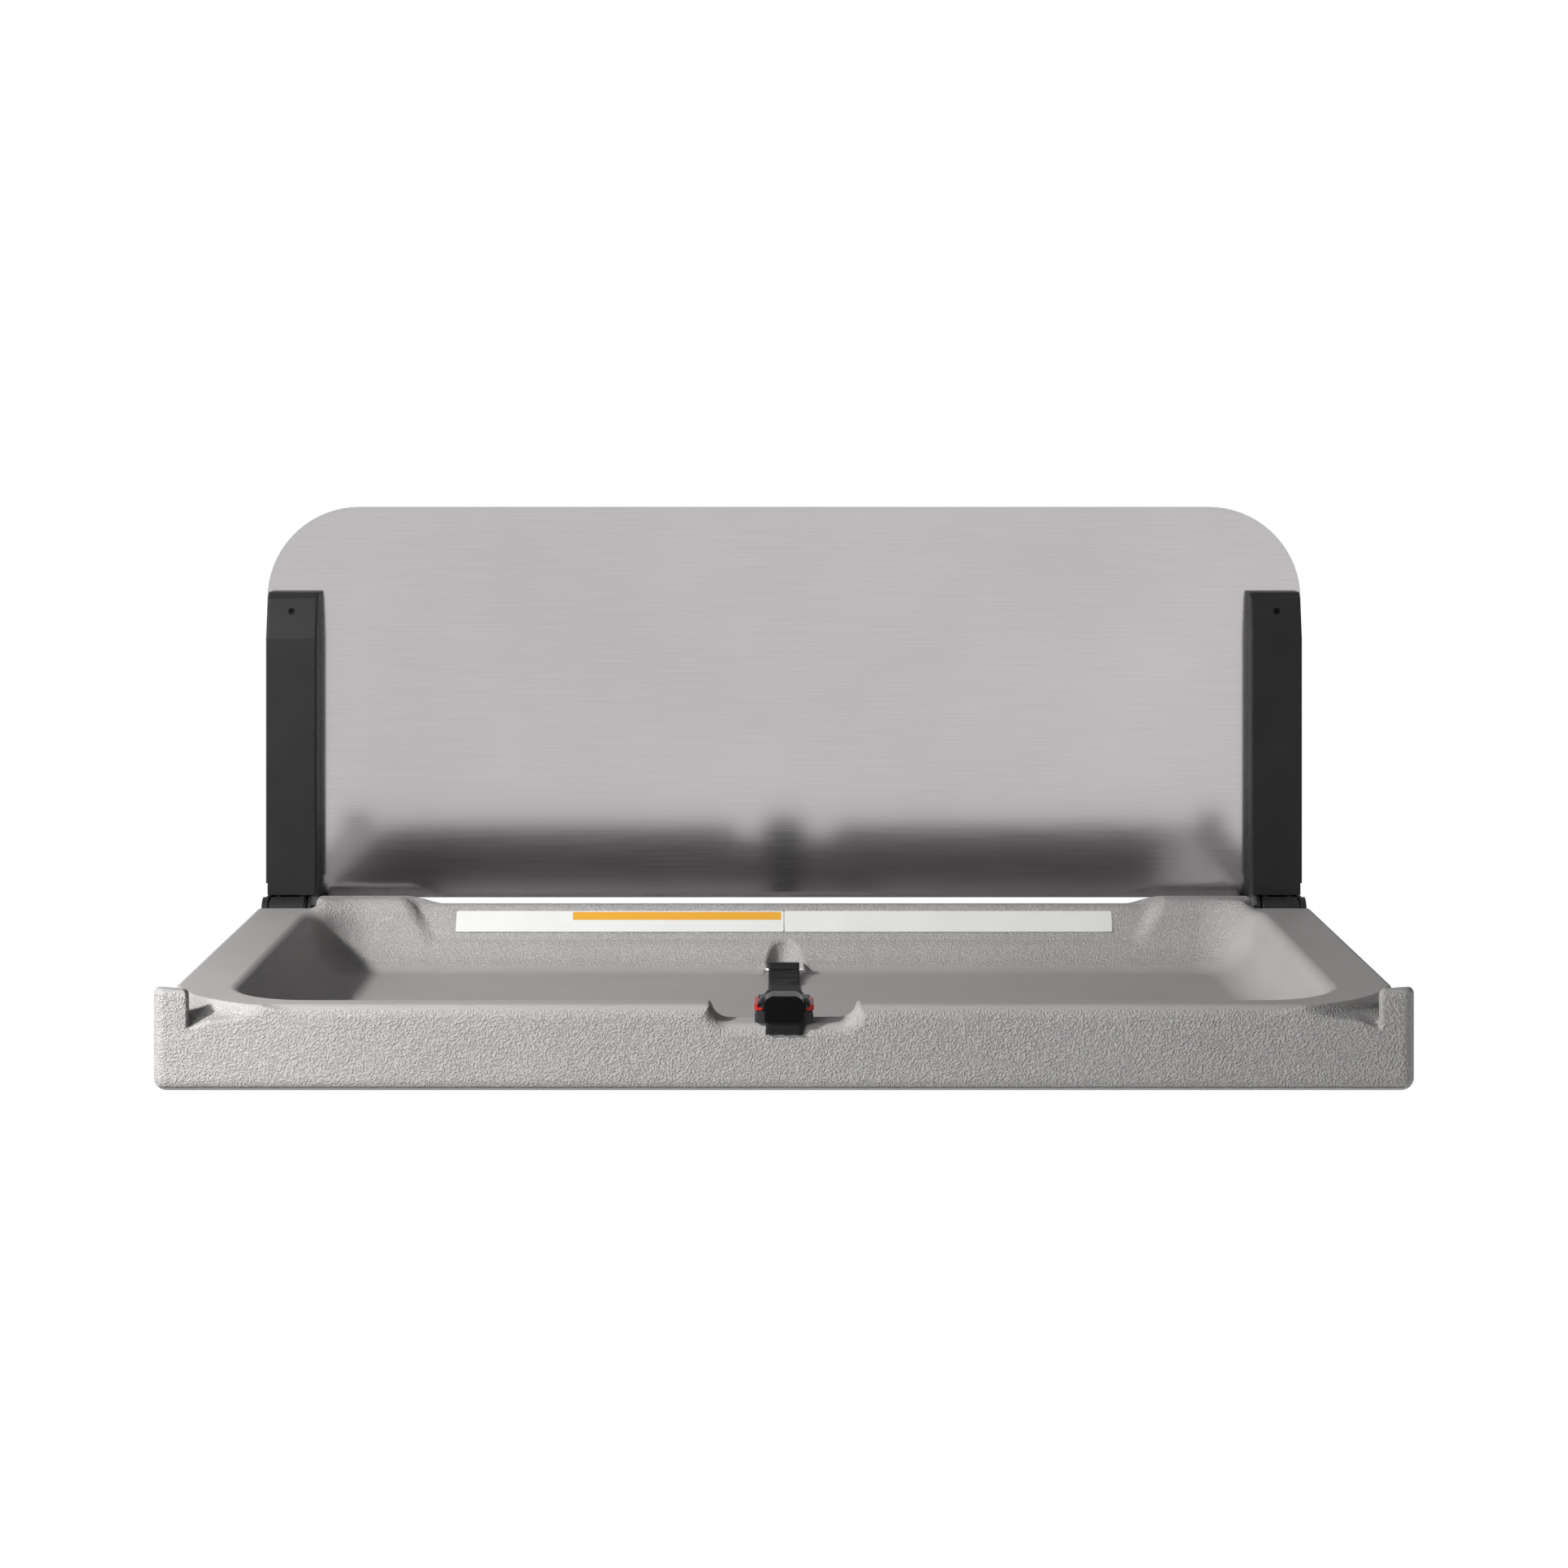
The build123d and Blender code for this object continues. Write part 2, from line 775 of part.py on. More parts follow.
def make_bed_arm():
    """The right rectangular tube that carries the tray."""
    y0 = front_y + arm_tube_front_gap
    y1 = axis_y - barrel_r - pocket_gap_front - wall_t - arm_tube_back_gap
    half = arm_tube_w / 2
    z1 = arm_tube_top_z
    z0 = z1 - arm_tube_h
    tube = block(mech_x - half, mech_x + half, y0, y1, z0, z1)
    tube -= block(
        mech_x - half + arm_tube_t,
        mech_x + half - arm_tube_t,
        y0 - overrun,
        y1 + overrun,
        z0 + arm_tube_t,
        z1 - arm_tube_t,
    )
    for reach in arm_boss_from_axis:
        tube -= bar_along_z(arm_screw_r, z0, z1, mech_x, axis_y - reach)
    for reach in leaf_screw_from_axis:
        tube -= bar_along_z(arm_screw_r, z1 - arm_tube_t, z1, mech_x, axis_y - reach)
    return tube


def make_arm_screws():
    """The screws of the right bed arm: long ones into the tray, short ones through the leaf."""
    screws = []
    z0 = arm_tube_top_z - arm_tube_h
    for reach in arm_boss_from_axis:
        y = axis_y - reach
        shank = bar_along_z(arm_screw_r, z0, arm_tube_top_z + arm_screw_bite, mech_x, y)
        screws.append(shank + bar_along_z(arm_screw_head_r, z0 - arm_screw_head_h, z0, mech_x, y))
    top = leaf_under_z + leaf_t
    for reach in leaf_screw_from_axis:
        y = axis_y - reach
        shank = bar_along_z(arm_screw_r, leaf_under_z - arm_screw_bite, top, mech_x, y)
        screws.append(shank + bar_along_z(arm_screw_head_r, top, top + arm_screw_head_h, mech_x, y))
    return Compound(children=[s for screw in screws for s in screw.solids()])


def make_panel():
    """The back panel, with round upper corners and notched lower ones."""
    low = rim_z + panel_above_rim
    high = low + panel_h
    with BuildSketch(Plane.XZ) as outline:
        with Locations((0, (low + high) / 2)):
            Rectangle(panel_w, panel_h)
        fillet(outline.vertices().group_by(Axis.Y)[-1], panel_corner_r)
    sheet = extrude(outline.sketch, amount=panel_t)
    notch_x = panel_w / 2 - panel_notch_w
    notch = block(
        notch_x, side_x + overrun, panel_face_y, 0, low - overrun, low + panel_notch_h
    )
    for x, z in bolt_places():
        sheet -= bolt_hole(x, z)
    for x, z in rivet_places():
        for side in (1, -1):
            sheet -= wall_bar(rivet_r, panel_face_y, 0, side * x, z)
    for piece in (notch, left_of(notch)):
        sheet -= piece
    return sheet


def wall_bar(r, y0, y1, x, z):
    """A round bar square to the wall."""
    return Pos(x, (y0 + y1) / 2, z) * Rot(90, 0, 0) * Cylinder(r, abs(y1 - y0))


def bolt_places():
    """The four wall bolts, as (x, z)."""
    half_x = bolt_spacing_x / 2
    half_z = bolt_spacing_z / 2
    return [(x, z) for x in (-half_x, half_x) for z in (-half_z, half_z)]


def bolt_hole(x, z):
    """The hole for one wall bolt, through panel and bracket."""
    return wall_bar(bolt_hole_r, bracket_face_y, 0, x, z)


def rivet_places():
    """The rivets of the right bracket, as (x, z)."""
    return [(mech_x + rivet_off_centre, rim_z + rise) for rise in rivets_above_rim]


def arm_outline(inset=0):
    """The upright cover seen from the side, as (y, z) points from its foot up."""
    front = arm_front_y + inset
    slope = atan2(arm_slope_in, arm_slope_to - arm_slope_from)
    knee = inset * tan(slope / 2)
    top = rim_z + arm_top - inset
    slope_y = front + arm_slope_in + inset * (1 / cos(slope) - 1)
    return [
        (panel_face_y - arm_panel_gap, rim_z + arm_tongue_end),
        (front, rim_z + arm_tongue_end),
        (front, rim_z + arm_slope_from - knee),
        (slope_y, rim_z + arm_slope_to),
        (slope_y + (arm_top - arm_slope_to), top),
        (panel_face_y - arm_panel_gap, top),
    ]


def cover_screw_plane():
    """A plane on the sloped face of the right cover, at its screw, with its normal outwards."""
    rise = arm_slope_to - arm_slope_from
    part_up = (cover_screw_above_rim - arm_slope_from) / rise
    length = hypot(rise, arm_slope_in)
    return Plane(
        origin=(mech_x, arm_front_y + arm_slope_in * part_up, rim_z + cover_screw_above_rim),
        x_dir=(1, 0, 0),
        z_dir=(0, -rise / length, arm_slope_in / length),
    )


def make_arm_cover():
    """The right folded cover: front, two flanges, a capped top and a tongue over the hinge."""
    shell = slab_along_x(arm_outline(), arm_in_x, arm_out_x)
    folds = shell.edges().filter_by(
        lambda e: abs(e.center().X - mech_x) > arm_w / 2 - edge_tolerance - arm_side_inset
        and e.center().Y < arm_front_y + arm_slope_in + overrun
        and e.center().Z > rim_z + arm_tongue_end + edge_tolerance
    )
    shell = fillet(folds, arm_bend_r)
    inside = arm_outline(arm_sheet_t)
    low = rim_z + arm_tongue_end - overrun
    inside = [(0, low), (inside[1][0], low), *inside[2:5], (0, inside[5][1])]
    shell -= slab_along_x(inside, arm_in_x + arm_sheet_t, arm_out_x - arm_sheet_t)
    flange_z = rim_z + arm_flange_end
    shell -= block(arm_in_x, arm_in_x + arm_tongue_inset_in, arm_front_y, 0, low, flange_z)
    shell -= block(arm_out_x - arm_tongue_inset_out, arm_out_x, arm_front_y, 0, low, flange_z)
    return shell - cover_screw_plane() * cover_screw()


def cover_screw():
    """The countersunk screw of a cover, along -Z, flush at zero."""
    sink = cover_screw_head_r - cover_screw_r
    head = Pos(0, 0, -sink / 2) * Cone(cover_screw_r, cover_screw_head_r, sink)
    return head + Pos(0, 0, -cover_screw_len / 2) * Cylinder(cover_screw_r, cover_screw_len)


def make_cover_screw():
    """The right cover screw, with a six-sided socket."""
    socket = extrude(RegularPolygon(cover_screw_socket_r, 6), amount=-cover_screw_socket_r)
    return cover_screw_plane() * (cover_screw() - socket)


def make_upright_bracket():
    """The right steel bracket: a channel on the wall with two hinge ears at its foot."""
    top = rim_z + arm_top - bracket_top_below_arm
    foot = axis_z - bracket_foot_below_axis
    front = bracket_face_y - bracket_depth
    slope_start = rim_z + arm_slope_from
    back = block(bracket_in_x, bracket_out_x, bracket_face_y, panel_face_y, foot, top)
    flange = [
        (bracket_face_y, foot),
        (back_y + pocket_gap_front, axis_z - barrel_r),
        (axis_y, axis_z - barrel_r),
        (axis_y, axis_z + barrel_r),
        (front, axis_z + barrel_r - bracket_fit_gap),
        (front, slope_start),
        (front + arm_slope_in, top),
        (bracket_face_y, top),
    ]
    bracket = back
    for x0 in (bracket_in_x, ear_out_x):
        x1 = x0 + bracket_ear_t
        ear = slab_along_x(flange, x0, x1)
        ear += bar_along_x(barrel_r, x0, x1, axis_y, axis_z)
        ear -= bar_along_x(pin_r, x0, x1, axis_y, axis_z)
        ear -= bar_along_x(top_pin_r, x0, x1, yoke_mid_y, top_pin_z)
        bracket += ear
    head_x = bracket_in_x + top_pin_head_t
    bracket -= bar_along_x(top_pin_head_r, bracket_in_x, head_x, yoke_mid_y, top_pin_z)
    boss_len = bracket_depth + bracket_fit_gap
    boss = cover_screw_plane() * Pos(0, 0, -arm_sheet_t - bracket_fit_gap - boss_len / 2) * Cylinder(
        cover_boss_r, boss_len
    )
    boss &= block(ear_in_x, ear_out_x, -axis_off_wall, bracket_face_y, foot, top)
    bracket += boss
    bracket -= cover_screw_plane() * cover_screw()
    for x, z in bolt_places():
        bracket -= bolt_hole(x, z)
    for x, z in rivet_places():
        bracket -= wall_bar(rivet_r, bracket_face_y, panel_face_y, x, z)
    return bracket


def make_rivets():
    """The rivets that hold the right bracket to the panel."""
    rivets = []
    for x, z in rivet_places():
        rivet = wall_bar(rivet_r, bracket_face_y, 0, x, z)
        rivet += wall_bar(rivet_head_r, bracket_face_y - rivet_head_h, bracket_face_y, x, z)
        rivets.append(rivet)
    return Compound(children=[s for rivet in rivets for s in rivet.solids()])


def make_hinge_pin():
    """The right hinge pin, with its head flush with the cover's outer side."""
    shank = bar_along_x(pin_r, bracket_in_x - pin_end_proud, bracket_out_x, axis_y, axis_z)
    return shank + bar_along_x(barrel_r, bracket_out_x, arm_out_x, axis_y, axis_z)


def make_pin_clip():
    """The open clip on the right hinge pin, beside the inner ear."""
    x0 = ear_in_x + clip_play
    x1 = x0 + clip_t
    clip = bar_along_x(clip_r, x0, x1, axis_y, axis_z)
    clip -= bar_along_x(pin_r, x0, x1, axis_y, axis_z)
    half = clip_mouth / 2
    return clip - block(x0, x1, axis_y - half, axis_y + half, axis_z - clip_r, axis_z)


def make_cylinder():
    """The right gas cylinder: a bored tube with a guide hole below and an eye above."""
    tube = bar_along_z(cylinder_r, cylinder_z0, cylinder_z1, mech_x, yoke_mid_y)
    tube -= bar_along_z(
        cylinder_bore_r,
        cylinder_z0 + cylinder_end_t,
        cylinder_z1 - cylinder_end_t,
        mech_x,
        yoke_mid_y,
    )
    tube -= bar_along_z(
        rod_r + running_gap, cylinder_z0, cylinder_z0 + cylinder_end_t, mech_x, yoke_mid_y
    )
    half = cylinder_eye_t / 2
    neck = block(
        mech_x - half,
        mech_x + half,
        yoke_mid_y - cylinder_eye_r,
        yoke_mid_y + cylinder_eye_r,
        cylinder_z1 - cylinder_end_t / 2,
        top_pin_z,
    )
    eye = bar_along_x(cylinder_eye_r, mech_x - half, mech_x + half, yoke_mid_y, top_pin_z)
    tube += neck + eye
    return tube - bar_along_x(top_pin_r, mech_x - half, mech_x + half, yoke_mid_y, top_pin_z)


def make_top_pin():
    """The pin that holds the right cylinder, with its head sunk in the bracket's inner flange."""
    pin = bar_along_x(top_pin_r, bracket_in_x, bracket_out_x, yoke_mid_y, top_pin_z)
    head_x = bracket_in_x + top_pin_head_t
    return pin + bar_along_x(top_pin_head_r, bracket_in_x, head_x, yoke_mid_y, top_pin_z)


def make_rod():
    """The right gas rod."""
    z0 = crank_z + yoke_half_h - rod_into_yoke
    return bar_along_z(rod_r, z0, cylinder_z0 + rod_inside, mech_x, yoke_mid_y)


def make_piston():
    """The piston on the end of the right gas rod."""
    z0 = cylinder_z0 + rod_inside
    return bar_along_z(cylinder_bore_r - running_gap, z0, z0 + piston_t, mech_x, yoke_mid_y)


def make_yoke():
    """The slotted end of the right gas rod, which the crank pin slides in."""
    half = yoke_w / 2
    yoke = block(
        mech_x - half,
        mech_x + half,
        yoke_front_y,
        yoke_back_y,
        crank_z - yoke_half_h,
        crank_z + yoke_half_h,
    )
    yoke -= block(
        mech_x - half,
        mech_x + half,
        yoke_front_y + yoke_wall,
        yoke_back_y - yoke_wall,
        crank_z - yoke_half_h + yoke_cap,
        crank_z + yoke_half_h - yoke_cap,
    )
    return yoke - make_rod()


def make_housing():
    """The buckle's housing: base, two cheeks, a roof and two upright ears."""
    half = buckle_w / 2
    y0 = buckle_front_y
    y1 = buckle_back_y
    roof = buckle_roof_z
    floor = dip_z + buckle_base_t
    body = block(-half, half, y0, y1, dip_z, roof)
    channel = half - buckle_cheek_w
    body -= block(-channel, channel, y0 + insert_stop_wall, y1, floor, roof - buckle_roof_t)
    pocket = half - button_t - button_travel - button_pocket_gap
    button_y = y0 + button_from_front
    button_low = dip_z + button_z
    for side in (1, -1):
        ear = block(
            side * channel,
            side * (channel + buckle_ear_w),
            y0,
            y0 + buckle_ear_len,
            roof,
            dip_z + buckle_ear_top,
        )
        body += ear
        body -= block(
            side * pocket,
            side * half,
            button_y - button_side_gap,
            button_y + button_len + button_side_gap,
            button_low - button_side_gap,
            button_low + button_h + button_side_gap,
        )
    screw_y = y0 + buckle_screw_from_front
    body -= bar_along_z(buckle_screw_r, dip_z, floor, 0, screw_y)
    return body


def make_button():
    """The right release button."""
    half = buckle_w / 2
    x1 = half + button_proud
    x0 = half - button_t
    y0 = buckle_front_y + button_from_front
    z0 = dip_z + button_z
    return block(x0, x1, y0, y0 + button_len, z0, z0 + button_h)


def make_insert():
    """The buckle's insert: two prongs, a body and a bar for the belt."""
    half = buckle_w / 2 - buckle_cheek_w - buckle_slide_gap
    z0 = dip_z + buckle_base_t + buckle_slide_gap
    z1 = buckle_roof_z - buckle_roof_t - buckle_slide_gap
    y0 = buckle_front_y + insert_stop_wall + buckle_slide_gap
    y1 = buckle_back_y + insert_out
    body = block(-half, half, y0, y1, z0, z1)
    gap = half - insert_prong_w
    body -= block(-gap, gap, y0, y0 + buckle_len / 2, z0, z1)
    slot_y1 = y1 - insert_bar_len
    gap = half - insert_side_w
    return body - block(-gap, gap, slot_y1 - insert_web_slot, slot_y1, z0, z1)


def make_cap():
    """The glossy cap that folds over the housing's front and holds the belt's tail."""
    half = buckle_cap_w / 2
    lip = half - web_w / 2 - web_gap
    top = buckle_roof_z + buckle_cap_top
    under = buckle_roof_z + web_t + web_gap
    front = front_y - web_t - 2 * web_gap - buckle_cap_t
    inner = front + buckle_cap_t
    low = top - buckle_cap_drop
    back = buckle_front_y + buckle_cap_back
    body = block(-half, half, front, back, low, top)
    round_edges = body.edges().filter_by(Axis.X).group_by(Axis.Z)[-1]
    body = fillet(round_edges, buckle_cap_r)
    body = fillet(body.edges().group_by(Axis.Z)[-1].filter_by(Axis.Y), buckle_cap_r)
    body -= block(-half + lip, half - lip, inner, back + overrun, low - overrun, under)
    body -= block(-half, half, buckle_front_y, back + overrun, low - overrun, buckle_roof_z)
    return body - block(-half, half, front_y - web_gap, buckle_front_y, low - overrun, dip_z + web_gap)


def make_tail():
    """The short front end of the belt, under the cap and down the front face."""
    y_face = front_y - web_gap
    z1 = buckle_roof_z + web_t + web_gap / 2
    z0 = z1 - web_t
    bend = web_t + web_gap
    outer = [
        (buckle_front_y + tail_root, z1),
        (y_face - web_t + bend, z1),
        (y_face - web_t, z1 - bend),
        (y_face - web_t, rim_z - tail_drop),
        (y_face, rim_z - tail_drop),
        (y_face, z0 - bend / 2),
        (y_face + bend / 2, z0),
        (buckle_front_y + tail_root, z0),
    ]
    return slab_along_x(outer, -web_w / 2, web_w / 2)


def make_buckle_screw():
    """The screw that holds the housing down."""
    y = buckle_front_y + buckle_screw_from_front
    floor = dip_z + buckle_base_t
    shank = bar_along_z(buckle_screw_r, dip_z - buckle_screw_len, floor, 0, y)
    head = bar_along_z(buckle_screw_head_r, floor, floor + buckle_screw_head_h, 0, y)
    return shank + head


def make_belt():
    """The belt from the insert's bar to the bar in the niche, with a loop at each end."""
    ring_out = anchor_bar_r + loop_slack_r + web_t
    ring_in = ring_out - web_t
    bar_mid = (dip_z + buckle_base_t + buckle_roof_z - buckle_roof_t) / 2
    insert_end = buckle_back_y + insert_out
    insert_bar_y = insert_end - insert_bar_len / 2
    insert_h = buckle_roof_z - buckle_roof_t - dip_z - buckle_base_t - 2 * buckle_slide_gap
    bar_half_z = insert_h / 2
    near_in = hypot(bar_half_z, insert_bar_len / 2) + web_gap
    near_out = near_in + web_t
    half = web_w / 2
    top = [(insert_bar_y, bar_mid + near_out)]
    top += [(insert_bar_y + y, rim_z - drop) for y, drop in belt_points]
    top.append((bar_y, bar_z + ring_out))
    low = [(y, z - web_t) for y, z in top]
    with BuildSketch(Plane.YZ.offset(-half)) as side:
        with BuildLine():
            Spline(*top)
            Line(top[-1], low[-1])
            Spline(*reversed(low))
            Line(low[0], top[0])
        make_face()
    belt = extrude(side.sketch, amount=web_w, dir=(1, 0, 0))
    belt += bar_along_x(ring_out, -half, half, bar_y, bar_z)
    belt += bar_along_x(near_out, -half, half, insert_bar_y, bar_mid)
    belt -= bar_along_x(ring_in, -half, half, bar_y, bar_z)
    return belt - bar_along_x(near_in, -half, half, insert_bar_y, bar_mid)


os.makedirs("parts", exist_ok=True)

label_left, label_right = make_labels()
button = make_button()
save("back_panel", make_panel())
save("bracket_rivets", both(make_rivets()))
save("cover_screws", both(make_cover_screw()))
save("pin_clips", both(make_pin_clip()))
save("cylinder_pins", both(make_top_pin()))
tray = make_tray()
middle_areas, right_areas = tray_areas()
for name, *area in middle_areas:
    save(name, tray_area(tray, *area))
for name, *area in right_areas:
    piece = tray_area(tray, *area)
    save(name + "_right", piece)
    save(name + "_left", left_of(piece))
save("underside_plate", make_underside())
save("underside_screws", make_plate_screws())
save("arm_screws", both(make_arm_screws()))
save("hinge_bushings", both(make_bushings()))
save("crank_pins", both(make_crank_pin()))
save("label_left", label_left)
save("label_right", label_right)
save("belt_anchor_bar", make_anchor_bar())
save("belt_webbing", make_belt())
save("belt_tail", make_tail())
save("buckle_housing", make_housing())
save("buckle_cap", make_cap())
save("buckle_screw", make_buckle_screw())
save("buckle_insert", make_insert())
save("release_button_right", button)
save("release_button_left", left_of(button))

for name, piece in (
    ("upright_bracket", make_upright_bracket()),
    ("arm_cover", make_arm_cover()),
    ("hinge_pin", make_hinge_pin()),
    ("gas_cylinder", make_cylinder()),
    ("gas_rod", make_rod()),
    ("gas_piston", make_piston()),
    ("rod_yoke", make_yoke()),
    ("bed_hinge", make_bed_hinge()),
    ("bed_arm", make_bed_arm()),
):
    save(name + "_right", piece)
    save(name + "_left", left_of(piece))
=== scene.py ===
import bpy
import json
import math
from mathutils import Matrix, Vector
import numpy as np


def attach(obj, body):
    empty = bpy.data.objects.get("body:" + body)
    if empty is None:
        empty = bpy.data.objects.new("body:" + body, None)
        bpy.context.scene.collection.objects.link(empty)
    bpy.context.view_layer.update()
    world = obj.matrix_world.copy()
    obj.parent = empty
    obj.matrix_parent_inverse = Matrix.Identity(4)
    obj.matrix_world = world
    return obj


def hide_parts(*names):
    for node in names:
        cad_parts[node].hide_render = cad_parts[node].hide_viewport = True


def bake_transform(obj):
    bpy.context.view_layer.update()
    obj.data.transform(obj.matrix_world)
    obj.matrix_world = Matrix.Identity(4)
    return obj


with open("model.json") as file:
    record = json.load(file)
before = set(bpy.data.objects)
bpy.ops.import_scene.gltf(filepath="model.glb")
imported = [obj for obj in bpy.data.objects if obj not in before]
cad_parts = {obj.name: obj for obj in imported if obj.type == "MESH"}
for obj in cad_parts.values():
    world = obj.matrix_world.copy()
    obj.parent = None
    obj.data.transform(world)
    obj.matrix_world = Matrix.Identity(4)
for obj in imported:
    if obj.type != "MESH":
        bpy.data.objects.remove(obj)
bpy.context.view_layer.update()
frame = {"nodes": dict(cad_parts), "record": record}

MM = 0.001
RIM = -140.0  # height of the bed's rim in the frame, in mm
SETTLE_STEPS = 3  # Newton steps that bring a surface's points onto it
GRADIENT_H = 0.2  # mm either way for a field's slope

# Shapes are worked out in mm: x to the right, y into the wall and w up from the bed's rim.


# Rounded solids as distance fields, in mm, negative inside

def both(a, b, r):
    """Where two solids overlap, with the edge between them rounded."""
    return np.minimum(np.maximum(a, b), -r) + np.hypot(np.maximum(a + r, 0), np.maximum(b + r, 0))


def either(a, b, r):
    """Two solids together, with a fillet between them."""
    return np.maximum(np.minimum(a, b), r) - np.hypot(np.maximum(r - a, 0), np.maximum(r - b, 0))


def ease(t):
    """A smooth step from 0 to 1 as t goes from 0 to 1."""
    t = np.clip(t, 0, 1)
    return t * t * (3 - 2 * t)


def rect(x, y, x0, x1, y0, y1, r):
    """A rectangle with rounded corners."""
    qx = np.abs(x - (x0 + x1) / 2) - (x1 - x0) / 2 + r
    qy = np.abs(y - (y0 + y1) / 2) - (y1 - y0) / 2 + r
    return np.hypot(np.maximum(qx, 0), np.maximum(qy, 0)) + np.minimum(np.maximum(qx, qy), 0) - r


def lines(*runs):
    """Grid lines from runs of (start, end, step)."""
    parts = [np.linspace(a, b, max(2, round(abs(b - a) / s) + 1)) for a, b, s in runs]
    return np.unique(np.round(np.concatenate(parts), 4))


def gradient(field, p):
    """A field's slope at points, by central differences."""
    g = np.empty_like(p)
    for k in range(3):
        d = np.zeros(3)
        d[k] = GRADIENT_H
        g[:, k] = (field(*(p + d).T) - field(*(p - d).T)) / (2 * GRADIENT_H)
    return g


def surface(field, xs, ys, zs, reach=0.8):
    """Points, quads and outward normals of a field's surface over a grid.

    Each cell that the surface crosses gets one point, at the mean of the crossings on its
    edges, and steps of at most reach then settle it on the surface.
    """
    axes = (xs, ys, zs)
    f = field(*np.meshgrid(xs, ys, zs, indexing="ij"))
    cells = tuple(n - 1 for n in f.shape)
    hits = np.zeros(cells)
    sums = [np.zeros(cells) for _ in range(3)]
    for axis in range(3):
        u, v = [k for k in range(3) if k != axis]
        for du, dv in ((0, 0), (0, 1), (1, 0), (1, 1)):
            low = [slice(0, n) for n in cells]
            low[u] = slice(du, du + cells[u])
            low[v] = slice(dv, dv + cells[v])
            high = list(low)
            high[axis] = slice(1, 1 + cells[axis])
            a, b = f[tuple(low)], f[tuple(high)]
            cross = (a < 0) != (b < 0)
            t = np.where(cross, a / np.where(cross, a - b, 1), 0)
            hits += cross
            for k in range(3):
                shape = [1, 1, 1]
                shape[k] = -1
                if k == axis:
                    start = axes[k][:-1].reshape(shape)
                    step = np.diff(axes[k]).reshape(shape)
                    sums[k] += cross * (start + t * step)
                else:
                    d = du if k == u else dv
                    sums[k] += cross * axes[k][d:d + cells[k]].reshape(shape)
    live = hits > 0
    number = np.full(cells, -1)
    number[live] = np.arange(live.sum())
    p = np.stack([s[live] / hits[live] for s in sums], 1)

    # One quad for each grid edge that is crossed, between the four cells round it
    faces = []
    for axis in range(3):
        u, v = [k for k in range(3) if k != axis]
        low = [slice(None)] * 3
        low[u] = slice(1, f.shape[u] - 1)
        low[v] = slice(1, f.shape[v] - 1)
        high = list(low)
        low[axis] = slice(0, f.shape[axis] - 1)
        high[axis] = slice(1, f.shape[axis])
        inside, beyond = f[tuple(low)] < 0, f[tuple(high)] < 0
        crossed = inside != beyond
        at = np.argwhere(crossed)
        at[:, u] += 1
        at[:, v] += 1
        quad = []
        for du, dv in ((-1, -1), (0, -1), (0, 0), (-1, 0)):
            q = at.copy()
            q[:, u] += du
            q[:, v] += dv
            quad.append(number[tuple(q.T)])
        quad = np.stack(quad, 1)
        turn = inside[crossed] if axis != 1 else ~inside[crossed]
        quad[~turn] = quad[~turn][:, ::-1]
        faces.append(quad)

    for _ in range(SETTLE_STEPS):
        g = gradient(field, p)
        step = field(*p.T)[:, None] * g / np.maximum((g ** 2).sum(1), 0.05)[:, None]
        p -= np.clip(step, -reach, reach)
    g = gradient(field, p)
    n = g / np.maximum(np.linalg.norm(g, axis=1), 1e-9)[:, None]
    return p, np.concatenate(faces), n


def new_mesh(name, points, faces, material, normals=None):
    """A smooth mesh object from points in mm, in the frame."""
    mesh = bpy.data.meshes.new(name)
    rings = faces.tolist() if isinstance(faces, np.ndarray) else faces
    mesh.from_pydata((np.asarray(points, float) * MM).tolist(), [], rings)
    mesh.validate()
    mesh.update()
    mesh.shade_smooth()
    if normals is not None:
        mesh.normals_split_custom_set_from_vertices(np.asarray(normals, float).tolist())
    obj = bpy.data.objects.new(name, mesh)
    bpy.context.scene.collection.objects.link(obj)
    obj.data.materials.append(material)
    return obj


def body_of_field(name, field, lo, hi, step, material, body, nodes):
    """A piece from a field between two corners, on a body, in place of CAD nodes."""
    axes = [np.arange(a, b + step, step) for a, b in zip(lo, hi)]
    p, faces, n = surface(field, *axes, reach=step / 2)
    obj = new_mesh(name, p, faces, material, n)
    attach(obj, body)
    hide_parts(*nodes)
    return obj


# Materials

def nodes_of(material):
    """A material's node tree and its shader."""
    material.use_nodes = True
    tree = material.node_tree
    return tree, tree.nodes["Principled BSDF"]


def feed(tree, node, inputs):
    """Links or sets a node's inputs, each by its name or number."""
    for key, value in inputs.items():
        if isinstance(value, bpy.types.NodeSocket):
            tree.links.new(value, node.inputs[key])
        else:
            node.inputs[key].default_value = value


def add(tree, kind, inputs=None, **settings):
    """A new node, with its inputs and its own settings."""
    node = tree.nodes.new(kind)
    for key, value in settings.items():
        setattr(node, key, value)
    feed(tree, node, inputs or {})
    return node


def math_node(tree, operation, a, b=0.0, c=0.0):
    return add(tree, "ShaderNodeMath", {0: a, 1: b, 2: c}, operation=operation).outputs[0]


def place(tree, stretch=(1, 1, 1)):
    """The frame's own coordinates, in metres, stretched."""
    where = add(tree, "ShaderNodeTexCoord").outputs["Object"]
    return add(tree, "ShaderNodeMapping", {"Vector": where, "Scale": stretch}).outputs[0]


def noise(tree, scale, detail=2.0, rough=0.5, stretch=(1, 1, 1)):
    """Noise with about scale cells to the metre."""
    return add(tree, "ShaderNodeTexNoise", {"Vector": place(tree, stretch), "Scale": scale,
                                            "Detail": detail, "Roughness": rough}).outputs["Fac"]


